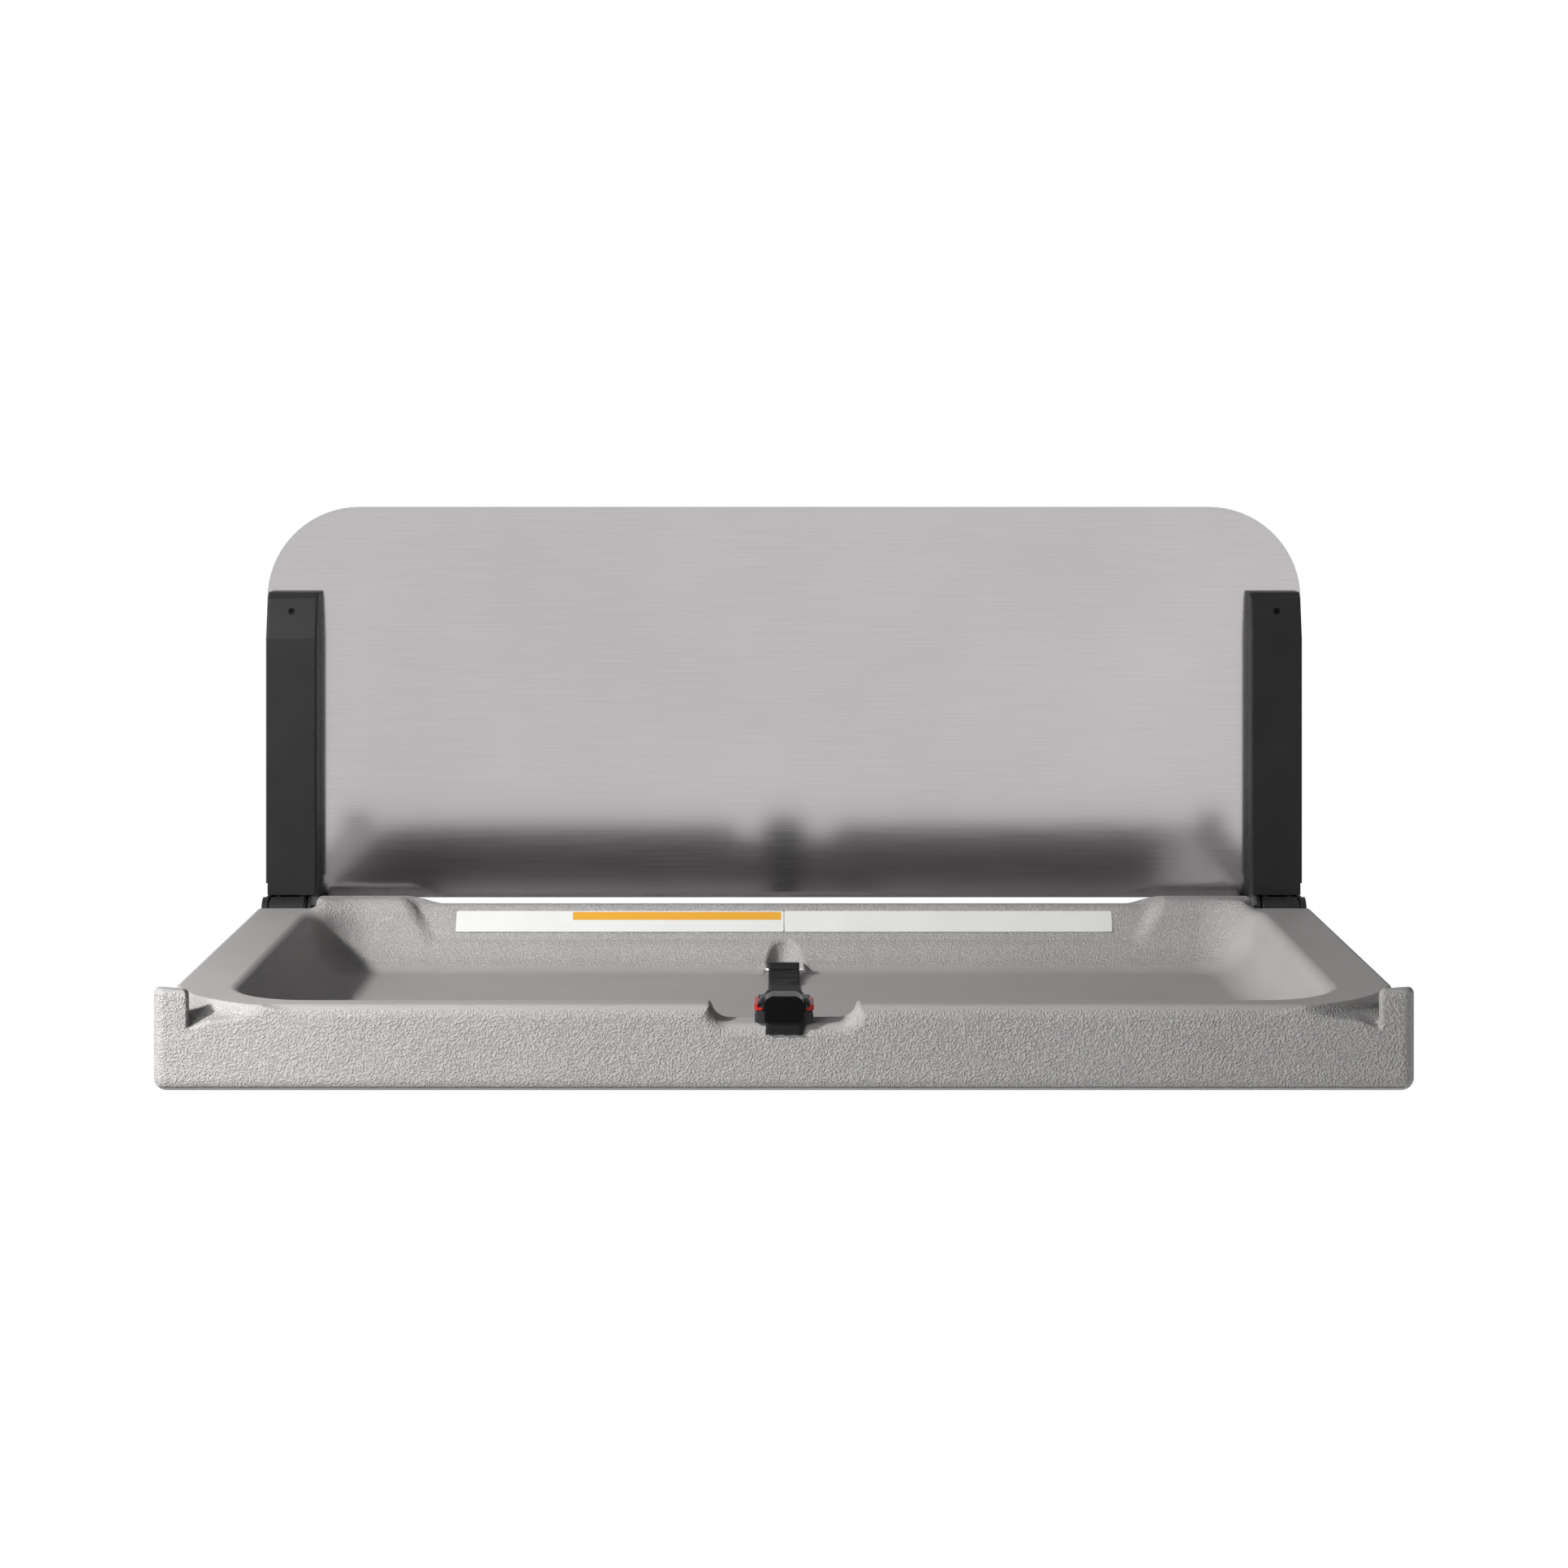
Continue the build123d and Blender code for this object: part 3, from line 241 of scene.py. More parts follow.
def spread(tree, value, lo, hi, low=0.3, high=0.7):
    """A value's range from low to high, widened to lo to hi. Noise seldom leaves 0.3 to 0.7."""
    return add(tree, "ShaderNodeMapRange", {"Value": value, "From Min": low, "From Max": high,
                                            "To Min": lo, "To Max": hi}).outputs[0]


def bump(tree, height, distance, before=None):
    """A normal from a height of 0 to 1 that stands for a distance in metres."""
    inputs = {"Height": height, "Distance": distance, "Strength": 1.0}
    if before is not None:
        inputs["Normal"] = before
    return add(tree, "ShaderNodeBump", inputs).outputs[0]


def mixed(tree, fac, a, b):
    """Two colours mixed, each given as a socket or as red, green and blue."""
    colours = [c if isinstance(c, bpy.types.NodeSocket) else (*c, 1.0) for c in (a, b)]
    node = add(tree, "ShaderNodeMix", data_type="RGBA")
    feed(tree, node, {0: fac, 6: colours[0], 7: colours[1]})
    return node.outputs[2]


def shade(colour, k):
    """A colour made k times as light."""
    return tuple(min(1.0, c * k) for c in colour)


def material(name, colour, rough, metal=0.0, vary=0.06, vary_scale=25.0, grain=(), coat=0.0,
             specular=0.5):
    """A surface with uneven colour and roughness and with layers of grain, as (scale, depth in m)."""
    made = bpy.data.materials.new(name)
    tree, shader = nodes_of(made)
    blotch = spread(tree, noise(tree, vary_scale, 4.0, 0.6), 0.0, 1.0)
    fine = noise(tree, vary_scale * 6, 3.0, 0.6)
    feed(tree, shader, {
        "Base Color": mixed(tree, blotch, shade(colour, 1 - vary), shade(colour, 1 + vary)),
        "Roughness": spread(tree, fine, rough * 0.88, min(1.0, rough * 1.12)),
        "Metallic": metal,
        "Coat Weight": coat,
        "Coat Roughness": 0.08,
        "Specular IOR Level": specular,
    })
    normal = None
    for scale, depth in grain:
        normal = bump(tree, noise(tree, scale, 2.0, 0.55), depth, normal)
    if normal is not None:
        tree.links.new(normal, shader.inputs["Normal"])
    return made


def tray_plastic(name, colour, grain=None):
    """Moulded plastic, pebbled in bump and in painted shade and highlight, evenly by grain, or else
    where the mesh's own grain says so.
    """
    made = bpy.data.materials.new(name)
    tree, shader = nodes_of(made)
    cloud = noise(tree, 9.0, 4.0, 0.55)
    fleck = noise(tree, 900.0, 2.0, 0.5)
    if grain is None:
        mask = add(tree, "ShaderNodeAttribute", attribute_name="grain").outputs["Fac"]
    else:
        mask = spread(tree, cloud, grain * 0.9, grain * 1.1)
    pebble = noise(tree, 760.0, 1.0, 0.4)
    pits = noise(tree, 340.0, 2.0, 0.5)
    height = math_node(tree, "MULTIPLY_ADD", pits, 0.15, pebble)
    level = spread(tree, height, 0.0, 1.0, 0.39, 0.76)
    # The pebble is partly bump and partly painted shade: its pits are painted darker and its tops
    # painted lighter.
    depth = math_node(tree, "MULTIPLY", level, mask)
    lift = math_node(tree, "MULTIPLY_ADD", math_node(tree, "SUBTRACT", level, 0.5), mask, 0.5)
    blotch = spread(tree, cloud, 0.0, 1.0)
    # Painted shade and highlight: low is the colour in the pebble's pits, high the colour on its
    # tops.
    low, high = (mixed(tree, blotch, shade(colour, 0.965 * k), shade(colour, 1.035 * k))
                 for k in (0.81, 1.12))
    base = mixed(tree, lift, low, high)
    feed(tree, shader, {
        "Base Color": mixed(tree, spread(tree, fleck, 0.0, 0.12), base, shade(colour, 0.6)),
        "Roughness": math_node(tree, "MULTIPLY_ADD", mask, 0.06, spread(tree, fleck, 0.56, 0.64)),
        "Specular IOR Level": 0.1,
        "Normal": bump(tree, depth, 0.0005),
    })
    return made


def brushed_steel(name, colour, rough):
    """A satin steel sheet, finely brushed from side to side."""
    made = bpy.data.materials.new(name)
    tree, shader = nodes_of(made)
    strokes = noise(tree, 1400.0, 2.0, 0.6, (0.012, 1, 1))
    cloud = noise(tree, 5.0, 3.0, 0.5)
    fac = math_node(tree, "MULTIPLY_ADD", cloud, 0.5, math_node(tree, "MULTIPLY", strokes, 0.5))
    tone = spread(tree, fac, 0.0, 1.0, 0.35, 0.65)
    feed(tree, shader, {
        "Base Color": mixed(tree, tone, shade(colour, 0.94), shade(colour, 1.06)),
        "Roughness": spread(tree, strokes, rough * 0.9, rough * 1.12),
        "Normal": bump(tree, strokes, 0.000002),
        "Metallic": 1.0,
    })
    return made


LABEL_WHITE = (0.71, 0.71, 0.70)
AMBER = (0.72, 0.36, 0.045)
AMBER_X = (-0.1785, -0.0025)  # the strip's ends and its lower and upper edge, in m
AMBER_Z = (-0.1516, -0.1455)


def label_surface(name, amber):
    """A satin plate, with a plain amber strip along its upper half if asked."""
    made = material(name, LABEL_WHITE, 0.5, vary=0.03, specular=0.1, grain=((1500.0, 0.00002),))
    if amber:
        tree, shader = nodes_of(made)
        x, _, z = add(tree, "ShaderNodeSeparateXYZ", {0: place(tree)}).outputs
        inside = 1.0
        for value, (lo, hi) in ((x, AMBER_X), (z, AMBER_Z)):
            for side, end in (("GREATER_THAN", lo), ("LESS_THAN", hi)):
                inside = math_node(tree, "MULTIPLY", math_node(tree, side, value, end), inside)
        white = shader.inputs["Base Color"].links[0].from_socket
        tree.links.new(mixed(tree, inside, white, AMBER), shader.inputs["Base Color"])
    return made


RIB_PITCH, PICK_PITCH = 1.3, 1.1  # mm across and along the webbing


def webbing(name, colour):
    """Woven strap: ribs along it and picks across it, from the mesh's own UV in mm, with painted
    shade in the weave's hollows and painted highlight on its tops.
    """
    made = bpy.data.materials.new(name)
    tree, shader = nodes_of(made)
    uv = add(tree, "ShaderNodeUVMap", uv_map="weave").outputs[0]
    u, v, _ = add(tree, "ShaderNodeSeparateXYZ", {0: uv}).outputs
    rib = math_node(tree, "SINE", math_node(tree, "MULTIPLY", u, 2 * math.pi / RIB_PITCH))
    pick = math_node(tree, "SINE", math_node(tree, "MULTIPLY", v, 2 * math.pi / PICK_PITCH))
    weave = math_node(tree, "MULTIPLY_ADD", rib, pick, math_node(tree, "MULTIPLY", rib, 0.4))
    height = spread(tree, weave, 0.0, 1.0, -1.4, 1.4)
    fuzz = noise(tree, 2500.0, 3.0, 0.7)
    # Painted shade and highlight: the weave's hollows are painted darker and its ribs and picks
    # lighter.
    light = mixed(tree, height, shade(colour, 0.7), shade(colour, 1.3))
    feed(tree, shader, {
        "Base Color": mixed(tree, spread(tree, fuzz, 0.0, 0.4), light, shade(colour, 1.7)),
        "Roughness": spread(tree, fuzz, 0.5, 0.62),
        "Specular IOR Level": 0.12,
        "Normal": bump(tree, fuzz, 0.00008, bump(tree, height, 0.00014)),
    })
    return made


TRAY_GREY = (0.40, 0.39, 0.383)

steel = brushed_steel("steel_sheet", (0.50, 0.482, 0.494), 0.125)
black = material("powder_coat", (0.017, 0.0165, 0.017), 0.5, vary=0.12, specular=0.14,
                 grain=((2600.0, 0.00004), (700.0, 0.00003)))
zinc = material("zinc_plate", (0.56, 0.56, 0.54), 0.34, 1.0, vary=0.1, vary_scale=90,
                grain=((900.0, 0.00002),))
screw_black = material("black_oxide", (0.004, 0.004, 0.004), 0.5, vary=0.2, specular=0.06,
                       grain=((1500.0, 0.00003),))
spring = material("spring_black", (0.02, 0.02, 0.022), 0.3, coat=0.3, grain=((1200.0, 0.00001),))
chrome = material("chrome", (0.90, 0.90, 0.91), 0.24, 1.0, vary=0.03, grain=((2000.0, 0.000004),))
bush = material("bush_plastic", (0.03, 0.03, 0.03), 0.5, grain=((900.0, 0.00003),))
grey = tray_plastic("tray_plastic", TRAY_GREY)
grey_under = tray_plastic("underside_plastic", TRAY_GREY, 0.8)
white_label = label_surface("label_plain", False)
amber_label = label_surface("label_amber", True)
web = webbing("belt_weave", (0.011, 0.011, 0.0115))
thread = material("thread", (0.02, 0.02, 0.02), 0.7, vary=0.3, vary_scale=800,
                  grain=((3000.0, 0.0001),))
buckle_grey = material("buckle_plastic", (0.025, 0.025, 0.025), 0.42, vary=0.08, specular=0.2,
                       grain=((1300.0, 0.00004),))
gloss = material("gloss_plastic", (0.002, 0.002, 0.0022), 0.18, vary=0.2, specular=0.07,
                 grain=((2600.0, 0.000004),))
red = material("button_red", (0.42, 0.025, 0.02), 0.3, vary=0.08, specular=0.2,
               grain=((900.0, 0.00002),))

by_slot = {
    "panel_steel": steel, "black_coat": black, "zinc": zinc, "black_screw": screw_black,
    "spring_black": spring, "rod_chrome": chrome, "bush_plastic": bush, "tray_grey": grey,
    "label_white": white_label, "label_amber": amber_label, "anchor_chrome": chrome, "webbing": web,
    "buckle_grey": buckle_grey, "buckle_gloss": gloss, "button_red": red,
}
slot_of = {s["node"]: s["material_slot"] for s in frame["record"]["subparts"]}
for node, obj in frame["nodes"].items():
    obj.data.materials.clear()
    obj.data.materials.append(grey_under if node == "underside_plate" else by_slot[slot_of[node]])


# The tray's skin, in one piece. Its halves mirror each other.

HALF_W, FRONT, BACK, OUTLINE_R = 444.5, -510, -28, 9.5  # the bed's outline
SKIN_DEPTH = 58  # from the rim down to the skin's lower edge
SHOULDER = 6.3  # the raised rear corners, above the rim

BASIN_HALF_W, BASIN_FRONT, BASIN_BACK = 393.5, -479, -55  # at the rim
BASIN_FRONT_R, BASIN_BACK_R = 55.0, 45.0  # its corners, seen from above
BASIN_DEPTH, BASIN_FILLET = 50, 33
WALL_LEAN = math.radians(6)

BACK_PARTS = -100  # the niche and the ledge lie behind this
NICHE_HALF_W, NICHE_HEIGHT, NICHE_DEPTH = 16.0, 27.5, 13.5

LEDGE_N = (-0.8046, 0.5939)  # out of the label ledge, as (y, height)
LEDGE_AT = (-41, -1.5)  # a place on it
LEDGE_FOOT = -24
SLOPE_N = (-0.848, 0.530)  # out of the slope from the ledge up to a shoulder, as (x, height)
SLOPE_X = 316  # where it reaches the shoulder's top
LABELS_AT = (-49, -12.4)  # the labels' middle line
LABELS_END, LABELS_HALF_H, LABELS_SUNK = 280.3, 11.6, 0.6  # their recess

FALL_X, FALL_Y, FALL_R = 322, -392, 124  # the round edge that the rim falls away from
FALL = 8.4
DIP_HALF_W, DIP_DEPTH, DIP_BACK = 51.5, 12, -440  # the grip dip
POST_X, POST_BACK, POST_HEIGHT, POST_FOOT = 420, -496, 12, -26  # the bag posts
HINGE_X, HINGE_FRONT, HINGE_FOOT = 395, -57, -18.5  # the room for the hinge ends


def outline(x, y):
    """The bed's outline, seen from above."""
    return rect(x, y, -HALF_W, HALF_W, FRONT, BACK, OUTLINE_R)


def ledge(x, y, w):
    """Distance above the label ledge, with its recess for the labels."""
    over = (y - LEDGE_AT[0]) * LEDGE_N[0] + (w - LEDGE_AT[1]) * LEDGE_N[1]
    along = (y - LABELS_AT[0]) * LEDGE_N[1] - (w - LABELS_AT[1]) * LEDGE_N[0]
    recess = ease((LABELS_END - x) / 1.4) * ease((LABELS_HALF_H - np.abs(along)) / 1.2)
    return over + LABELS_SUNK * recess


def basin(x, y, w):
    """The hollow of the basin, whose walls lean out."""
    lean = -w * math.tan(WALL_LEAN)
    corner = np.where(y < (BASIN_FRONT + BASIN_BACK) / 2, BASIN_FRONT_R, BASIN_BACK_R)
    plan = rect(x, y, -BASIN_HALF_W + lean, BASIN_HALF_W - lean,
                BASIN_FRONT + lean, BASIN_BACK - lean, corner)
    return both(plan, -(w + BASIN_DEPTH), BASIN_FILLET)


def niche(x, y, w):
    """A scoop in the back wall behind the belt's bar."""
    height = np.clip(w + BASIN_DEPTH, 0, 60)
    inside = 1 - (x / NICHE_HALF_W) ** 2 - (height / NICHE_HEIGHT) ** 1.5
    scoop = (basin(x, y, w) - NICHE_DEPTH * np.clip(inside, -1, 1)) * 0.6
    return np.maximum(np.maximum(scoop, -(w + BASIN_DEPTH)), BACK_PARTS - y)


def tray(x, y, z):
    """The whole moulding, solid down to the skin's lower edge."""
    x = np.abs(x)
    w = z - RIM
    side = outline(x, y)

    # The top is raised at the rear corners, but not over the hinge ends.
    lift = SHOULDER * ease((x - 289) / 28) * (1 - ease((-56 - y) / 24))
    lift = lift * (1 - ease((x - 384) / 16) * ease((-46 - y) / 10))
    # It falls away outside the basin's front corners, deepest beside the bag posts.
    past = np.hypot(np.maximum(x - FALL_X, 0), np.maximum(FALL_Y - y, 0)) - FALL_R
    sunk = FALL * (1 - np.exp(-(np.maximum(past, 0) / 4.2) ** 1.8)) + 0.2 * np.maximum(past - 7, 0)
    sunk = sunk + 3.5 * ease((x - 403) / 18) * ease((-486 - y) / 20)
    top = (w - lift + sunk) * 0.9

    # The label ledge, cut in between the shoulders
    slope = (x - SLOPE_X) * SLOPE_N[0] + (w - SHOULDER) * SLOPE_N[1]
    cut = both(-ledge(x, y, w), -slope, 4.0)
    cut = np.maximum(np.maximum(cut, LEDGE_FOOT - w), BACK_PARTS - y)
    top = both(top, -cut, 2 + 6 * ease((x - 288) / 16))

    # The grip dip in the front rim, a little deeper at the front
    dip = both(x - DIP_HALF_W, -(w + DIP_DEPTH + 2 * np.clip((-489 - y) / 21, 0, 1)), 12.5)
    top = both(top, -np.maximum(dip, y - DIP_BACK), 2.5)

    # The edge round the top is fuller in front, and sharp in the falls and at the back.
    lip = 5 + (3.5 - 5.9 * ease((past + 6) / 8)) * ease((-490 - y) / 15) - 2 * ease((y + 45) / 10)
    body = both(side, top, lip)

    # The bag posts at the front corners
    post = both(rect(x, y, POST_X, 480, -560, POST_BACK, 4.5), side, 1.5)
    post = both(post, w - POST_HEIGHT + 0.07 * (HALF_W - x), 4.5)
    post = np.maximum(post, POST_FOOT - w)
    body = np.maximum(either(body, post, 2.5), side)

    # The hollows, with room for the hinge ends at the rear corners
    body = both(body, -basin(x, y, w), 10.0)
    body = both(body, -niche(x, y, w), 2.0)
    hinge = np.maximum(np.maximum(HINGE_X - x, HINGE_FRONT - y), HINGE_FOOT - w)
    body = both(body, -hinge, 2.5)

    # The lower edge turns in a little before it ends.
    body = both(body, -(w + SKIN_DEPTH + 3), 9)
    return np.maximum(body, -(w + SKIN_DEPTH))


# The grid is finer where the shape turns.
half = lines((0, 57, 1.5), (57, 285, 6), (285, 321, 2), (321, 348, 4.5), (348, 449, 1.7))
xs = np.concatenate([-half[:0:-1], half])
ys = lines((-514, -436, 1.6), (-436, -112, 6), (-112, -23, 1.5))
zs = lines((-60, -24, 2), (-24, 15, 1.3)) + RIM
points, faces, normals = surface(tray, xs, ys, zs)
skin = new_mesh("tray_skin", points, faces, grey, normals)

# The skin is pebbled, in bump and in painted shade and highlight, on its outer faces, the falls
# beside the posts, the back wall and the niche.
px, py, pw = np.abs(points[:, 0]), points[:, 1], points[:, 2] - RIM
outer = ease((outline(px, py) + 12) / 4) * ease((0.8 - normals[:, 2]) / 0.3)
falls = ease((px - 335) / 20) * ease((-450 - py) / 20) * ease((-pw - 1) / 2)
back_wall = (ease((py + 84) / 10) * ease((365 + (pw + BASIN_DEPTH) * 0.7 - px) / 14)
             * ease((pw + 49) / 5))
in_niche = (ease((19 - px) / 2) * ease((py + 95) / 4) * ease((pw + 49) / 3)
            * ease((-20 - pw) / 2))
grain = np.clip(np.maximum.reduce([outer, falls, back_wall, in_niche]), 0.05, 1.0)
layer = skin.data.attributes.new("grain", "FLOAT", "POINT")
layer.data.foreach_set("value", grain.astype(np.float32))
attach(skin, "bed")
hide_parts("tray_floor", "tray_back", "tray_front_middle", "tray_front_right", "tray_front_left",
            "tray_corner_right", "tray_corner_left", "tray_side_right", "tray_side_left")


# The belt: one strap, sewn round the bar in the niche and round the insert's bar

STRAP_W, STRAP_T = 25.4, 1.4
STRAP_POINTS = 15  # across each face of a strap
SELVEDGE = 2.2  # width of a strap's thicker edge
STITCH = (1.9, 0.42, 0.34)  # a stitch's length, and its half width and half height
STITCH_XS = np.arange(-11, 11.1, 2.2)
STITCH_SIDES, STITCH_RINGS = 8, 7


def curve_through(points, step=0.8):
    """Evenly spaced points of a smooth path in (y, height), and how far along it each is."""
    p = np.asarray(points, float)
    p = np.vstack([2 * p[0] - p[1], p, 2 * p[-1] - p[-2]])
    out = []
    for a, b, c, d in zip(p[:-3], p[1:-2], p[2:-1], p[3:]):
        t = np.linspace(0, 1, 24, endpoint=False)[:, None]
        out.append(0.5 * (2 * b + (c - a) * t + (2 * a - 5 * b + 4 * c - d) * t ** 2
                          + (3 * b - a - 3 * c + d) * t ** 3))
    out = np.vstack(out + [p[-2:-1]])
    run = np.concatenate([[0], np.cumsum(np.hypot(*np.diff(out, axis=0).T))])
    at = np.linspace(0, run[-1], int(run[-1] / step) + 1)
    return np.stack([np.interp(at, run, out[:, 0]), np.interp(at, run, out[:, 1])], 1), at


def strap(name, points, material, ripple=None, fray=0.0):
    """A woven strap that follows a path, with full selvedges and cut ends."""
    path, run = curve_through(points)
    tangent = np.gradient(path, axis=0)
    tangent /= np.linalg.norm(tangent, axis=1)[:, None]
    normal = np.stack([-tangent[:, 1], tangent[:, 0]], 1)

    # The section, over its upper face and back under its lower one
    across = np.linspace(-1, 1, STRAP_POINTS)
    us = np.concatenate([across, across[::-1]]) * (STRAP_W / 2)
    from_edge = STRAP_W / 2 - np.abs(us)
    lift = (STRAP_T / 2) * np.where(from_edge < 0.1, 0.35, np.where(from_edge < SELVEDGE, 1.12, 1.0))
    lift = lift * np.concatenate([np.ones(STRAP_POINTS), -np.ones(STRAP_POINTS)])

    verts, count = [], len(us)
    rng = np.random.default_rng(4)
    for i, (at, n) in enumerate(zip(path, normal)):
        off = lift + (ripple(run[i], us, at) if ripple else 0.0)
        verts.append(np.stack([us, at[0] + n[0] * off, RIM + at[1] + n[1] * off], 1))
    if fray:
        verts[-1] = verts[-1] + np.stack([0 * us, 0 * us, -fray * rng.random(count)], 1)
    verts = np.vstack(verts)

    faces, uvs = [], []
    rows = len(path)
    for i in range(rows - 1):
        for j in range(count):
            k = (j + 1) % count
            faces.append([i * count + j, i * count + k, (i + 1) * count + k, (i + 1) * count + j])
            uvs += [(us[j], run[i]), (us[k], run[i]), (us[k], run[i + 1]), (us[j], run[i + 1])]
    for row, flip in ((0, True), (rows - 1, False)):
        ring = [row * count + j for j in range(count)]
        for j in range(STRAP_POINTS - 1):
            quad = [ring[j], ring[j + 1], ring[count - 2 - j], ring[count - 1 - j]]
            faces.append(quad if flip else quad[::-1])
            uvs += [(us[v % count], run[row] + (0.6 if v % count >= STRAP_POINTS else 0))
                    for v in faces[-1]]
    obj = new_mesh(name, verts, faces, material)
    layer = obj.data.uv_layers.new(name="weave")
    layer.data.foreach_set("uv", np.asarray(uvs, np.float32).ravel())
    obj.data.update()
    return obj


def stitches(name, places, turn, material, body):
    """A row of sewn stitches, each a short rounded thread."""
    verts, faces = [], []
    length, half_w, half_h = STITCH
    c, s = math.cos(turn), math.sin(turn)
    for x, y, z in places:
        base = len(verts)
        for a in np.linspace(-1, 1, STITCH_RINGS):
            r = math.sqrt(max(0.04, 1 - a ** 4))
            for b in np.linspace(0, 2 * np.pi, STITCH_SIDES, endpoint=False):
                wide, high = math.cos(b) * r * half_w, math.sin(b) * r * half_h
                verts.append((x + a * length / 2, y + c * wide - s * high, z + s * wide + c * high))
        for i in range(STITCH_RINGS - 1):
            one, two = base + i * STITCH_SIDES, base + (i + 1) * STITCH_SIDES
            for j in range(STITCH_SIDES):
                k = (j + 1) % STITCH_SIDES
                faces.append([one + j, two + j, two + k, one + k])
        last = base + (STITCH_RINGS - 1) * STITCH_SIDES
        faces.append([base + j for j in range(STITCH_SIDES)])
        faces.append([last + j for j in reversed(range(STITCH_SIDES))])
    obj = new_mesh(name, verts, faces, material)
    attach(obj, body)
    return obj


def wrinkle(run, x, at):
    """Creases across the strap where it leaves its loop: two slanting waves and a twist."""
    y = at[0]
    near = ease((-107 - y) / 5) * (1 - ease((-140 - y) / 20))
    fold = (0.8 * np.sin(run / 2.6 + 0.11 * x) + 0.6 * np.sin(run / 5.3 - 0.13 * x)
            + 0.05 * x * np.sin(run / 4.1))
    return near * np.maximum(0.8 * fold, -0.3)


belt_path = [
    # round the bar in the niche
    (-104.9, -46.4), (-105.2, -43.6), (-104.0, -40.5), (-100.6, -39.2), (-97.2, -40.5),
    (-95.7, -43.6), (-96.9, -46.8), (-100.2, -48.2), (-104.4, -48.4),
    # in small folds down to the basin's floor
    (-107.6, -47.0), (-110.6, -43.9), (-113.6, -44.6), (-117, -47.8), (-120.6, -46.6),
    (-124.4, -44.4), (-128.4, -46.4), (-132.4, -48.5), (-137.4, -47.0), (-143, -47.4),
    # over the floor and up the front wall
    (-150, -49.0), (-190, -49.1), (-250, -49.1), (-300, -48.6), (-350, -43.2), (-390, -31.0),
    (-420, -16.0), (-436, -6.2), (-442, -2.6),
    # round the insert's bar
    (-448.5, -0.6), (-453.0, -3.2), (-453.4, -7.2), (-449.8, -10.3), (-444.5, -9.8), (-437, -9.8),
    (-428, -13.2), (-418, -15.8),
]
belt = strap("belt_strap", belt_path, web, ripple=wrinkle)
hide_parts("belt_webbing")
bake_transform(belt)
stitches("loop_stitches", [(x, -105.95, RIM - 42.0 - 0.3 * (i % 2)) for i, x in enumerate(STITCH_XS)],
         math.radians(100), thread, "bed")
stitches("insert_stitches", [(x, y, RIM + w) for y, w in ((-437.6, -4.25), (-433.2, -6.95))
                             for x in STITCH_XS], math.radians(-31), thread, "insert")

tail_path = [(-488, 1.05), (-498, 1.05), (-507.5, 1.1), (-510.4, -0.3), (-511.2, -4), (-511.4, -12),
             (-511.5, -19.6)]
tail = strap("belt_end", tail_path, web, fray=0.9)
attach(tail, "bed")
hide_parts("belt_tail")


# The buckle

CAP_HALF_W, CAP_TOP, CAP_FRONT = 13.8, 7.4, -514.4
BUTTON_GROOVES = 5


def cap(x, y, z):
    """The glossy cap: a plate over the front and one over the top, bulged forwards."""
    w = z - RIM
    face = rect(x, w, -CAP_HALF_W, CAP_HALF_W, -11.2, CAP_TOP, 2.0)
    face = both(face, rect(x, w, -CAP_HALF_W, CAP_HALF_W, -40, CAP_TOP, 7.0), 0.3)
    bulge = 0.7 * (1 - (x / CAP_HALF_W) ** 2)
    fore = -(y - CAP_FRONT + bulge)
    front = np.maximum(fore, y + 512.0)
    top = np.maximum(np.maximum(fore, y + 492), -(w - 2.6))
    shell = either(front, top, 2.5)
    edge = both(fore, w - CAP_TOP, 2.2)
    return np.maximum(both(shell, face, 0.8), edge)


def housing(x, y, z):
    """The body, hollow for the insert and open at its sides for the buttons."""
    w = z - RIM
    a = np.abs(x)
    foot = both(both(rect(a, y, -21, 20.6, -509, -465, 2.5), np.maximum(w + 4.3, -(w + 12.5)), 0.9),
                (a - 20.6) * 0.8 + (w + 5.6) * 0.6, 0.5)
    cheek = both(rect(a, y, 8, 18.7, -508.4, -466, 2.0), np.maximum(w - 0.3, -(w + 12)), 0.7)
    ear = both(rect(a, y, 14.0, 18.4, -508.2, -499.5, 1.0), np.maximum(w - 5.4, -(w + 8)), 0.6)
    ear = both(ear, (a - 18.4) * 0.72 + (w - 2.6) * 0.69, 0.5)
    solid = either(either(foot, cheek, 0.5), ear, 0.5)
    channel = both(np.maximum(a - 14.5, -(y + 503)), np.maximum(w + 1.5, -(w + 9.5)), 0.4)
    solid = both(solid, -channel, 0.4)
    window = both(rect(x, y, -8.2, 8.2, -494, -474, 3.0), -(w + 2.5), 0.3)
    solid = both(solid, -window, 0.4)
    # Room for a pressed button's plate, and for its foot in front
    pocket = np.maximum(np.maximum(15.4 - a, np.abs(y + 493.5) - 16.2),
                        np.maximum(-(w + 4.1), w - 1.1))
    slit = np.maximum(np.maximum(12.5 - a, y + 507.1), np.maximum(-(w + 4.1), w + 1.0))
    return both(solid, -np.minimum(pocket, slit), 0.2)


def button(x, y, z):
    """The right button: a plate with a foot in front and grooves down its outer face."""
    w = z - RIM
    plate = both(rect(x, y, 17.9, 21.0, -508.5, -478, 1.4), np.maximum(w - 0.6, -(w + 3.6)), 0.5)
    foot = both(rect(x, y, 15.0, 19.5, -509.15, -507.6, 0.5), np.maximum(w + 1.5, -(w + 3.6)), 0.3)
    solid = either(plate, foot, 0.3)
    for k in range(BUTTON_GROOVES):
        groove = np.hypot(x - 21.35, y + 486 + 2.6 * k) - 0.75
        solid = both(solid, -groove, 0.15)
    return solid


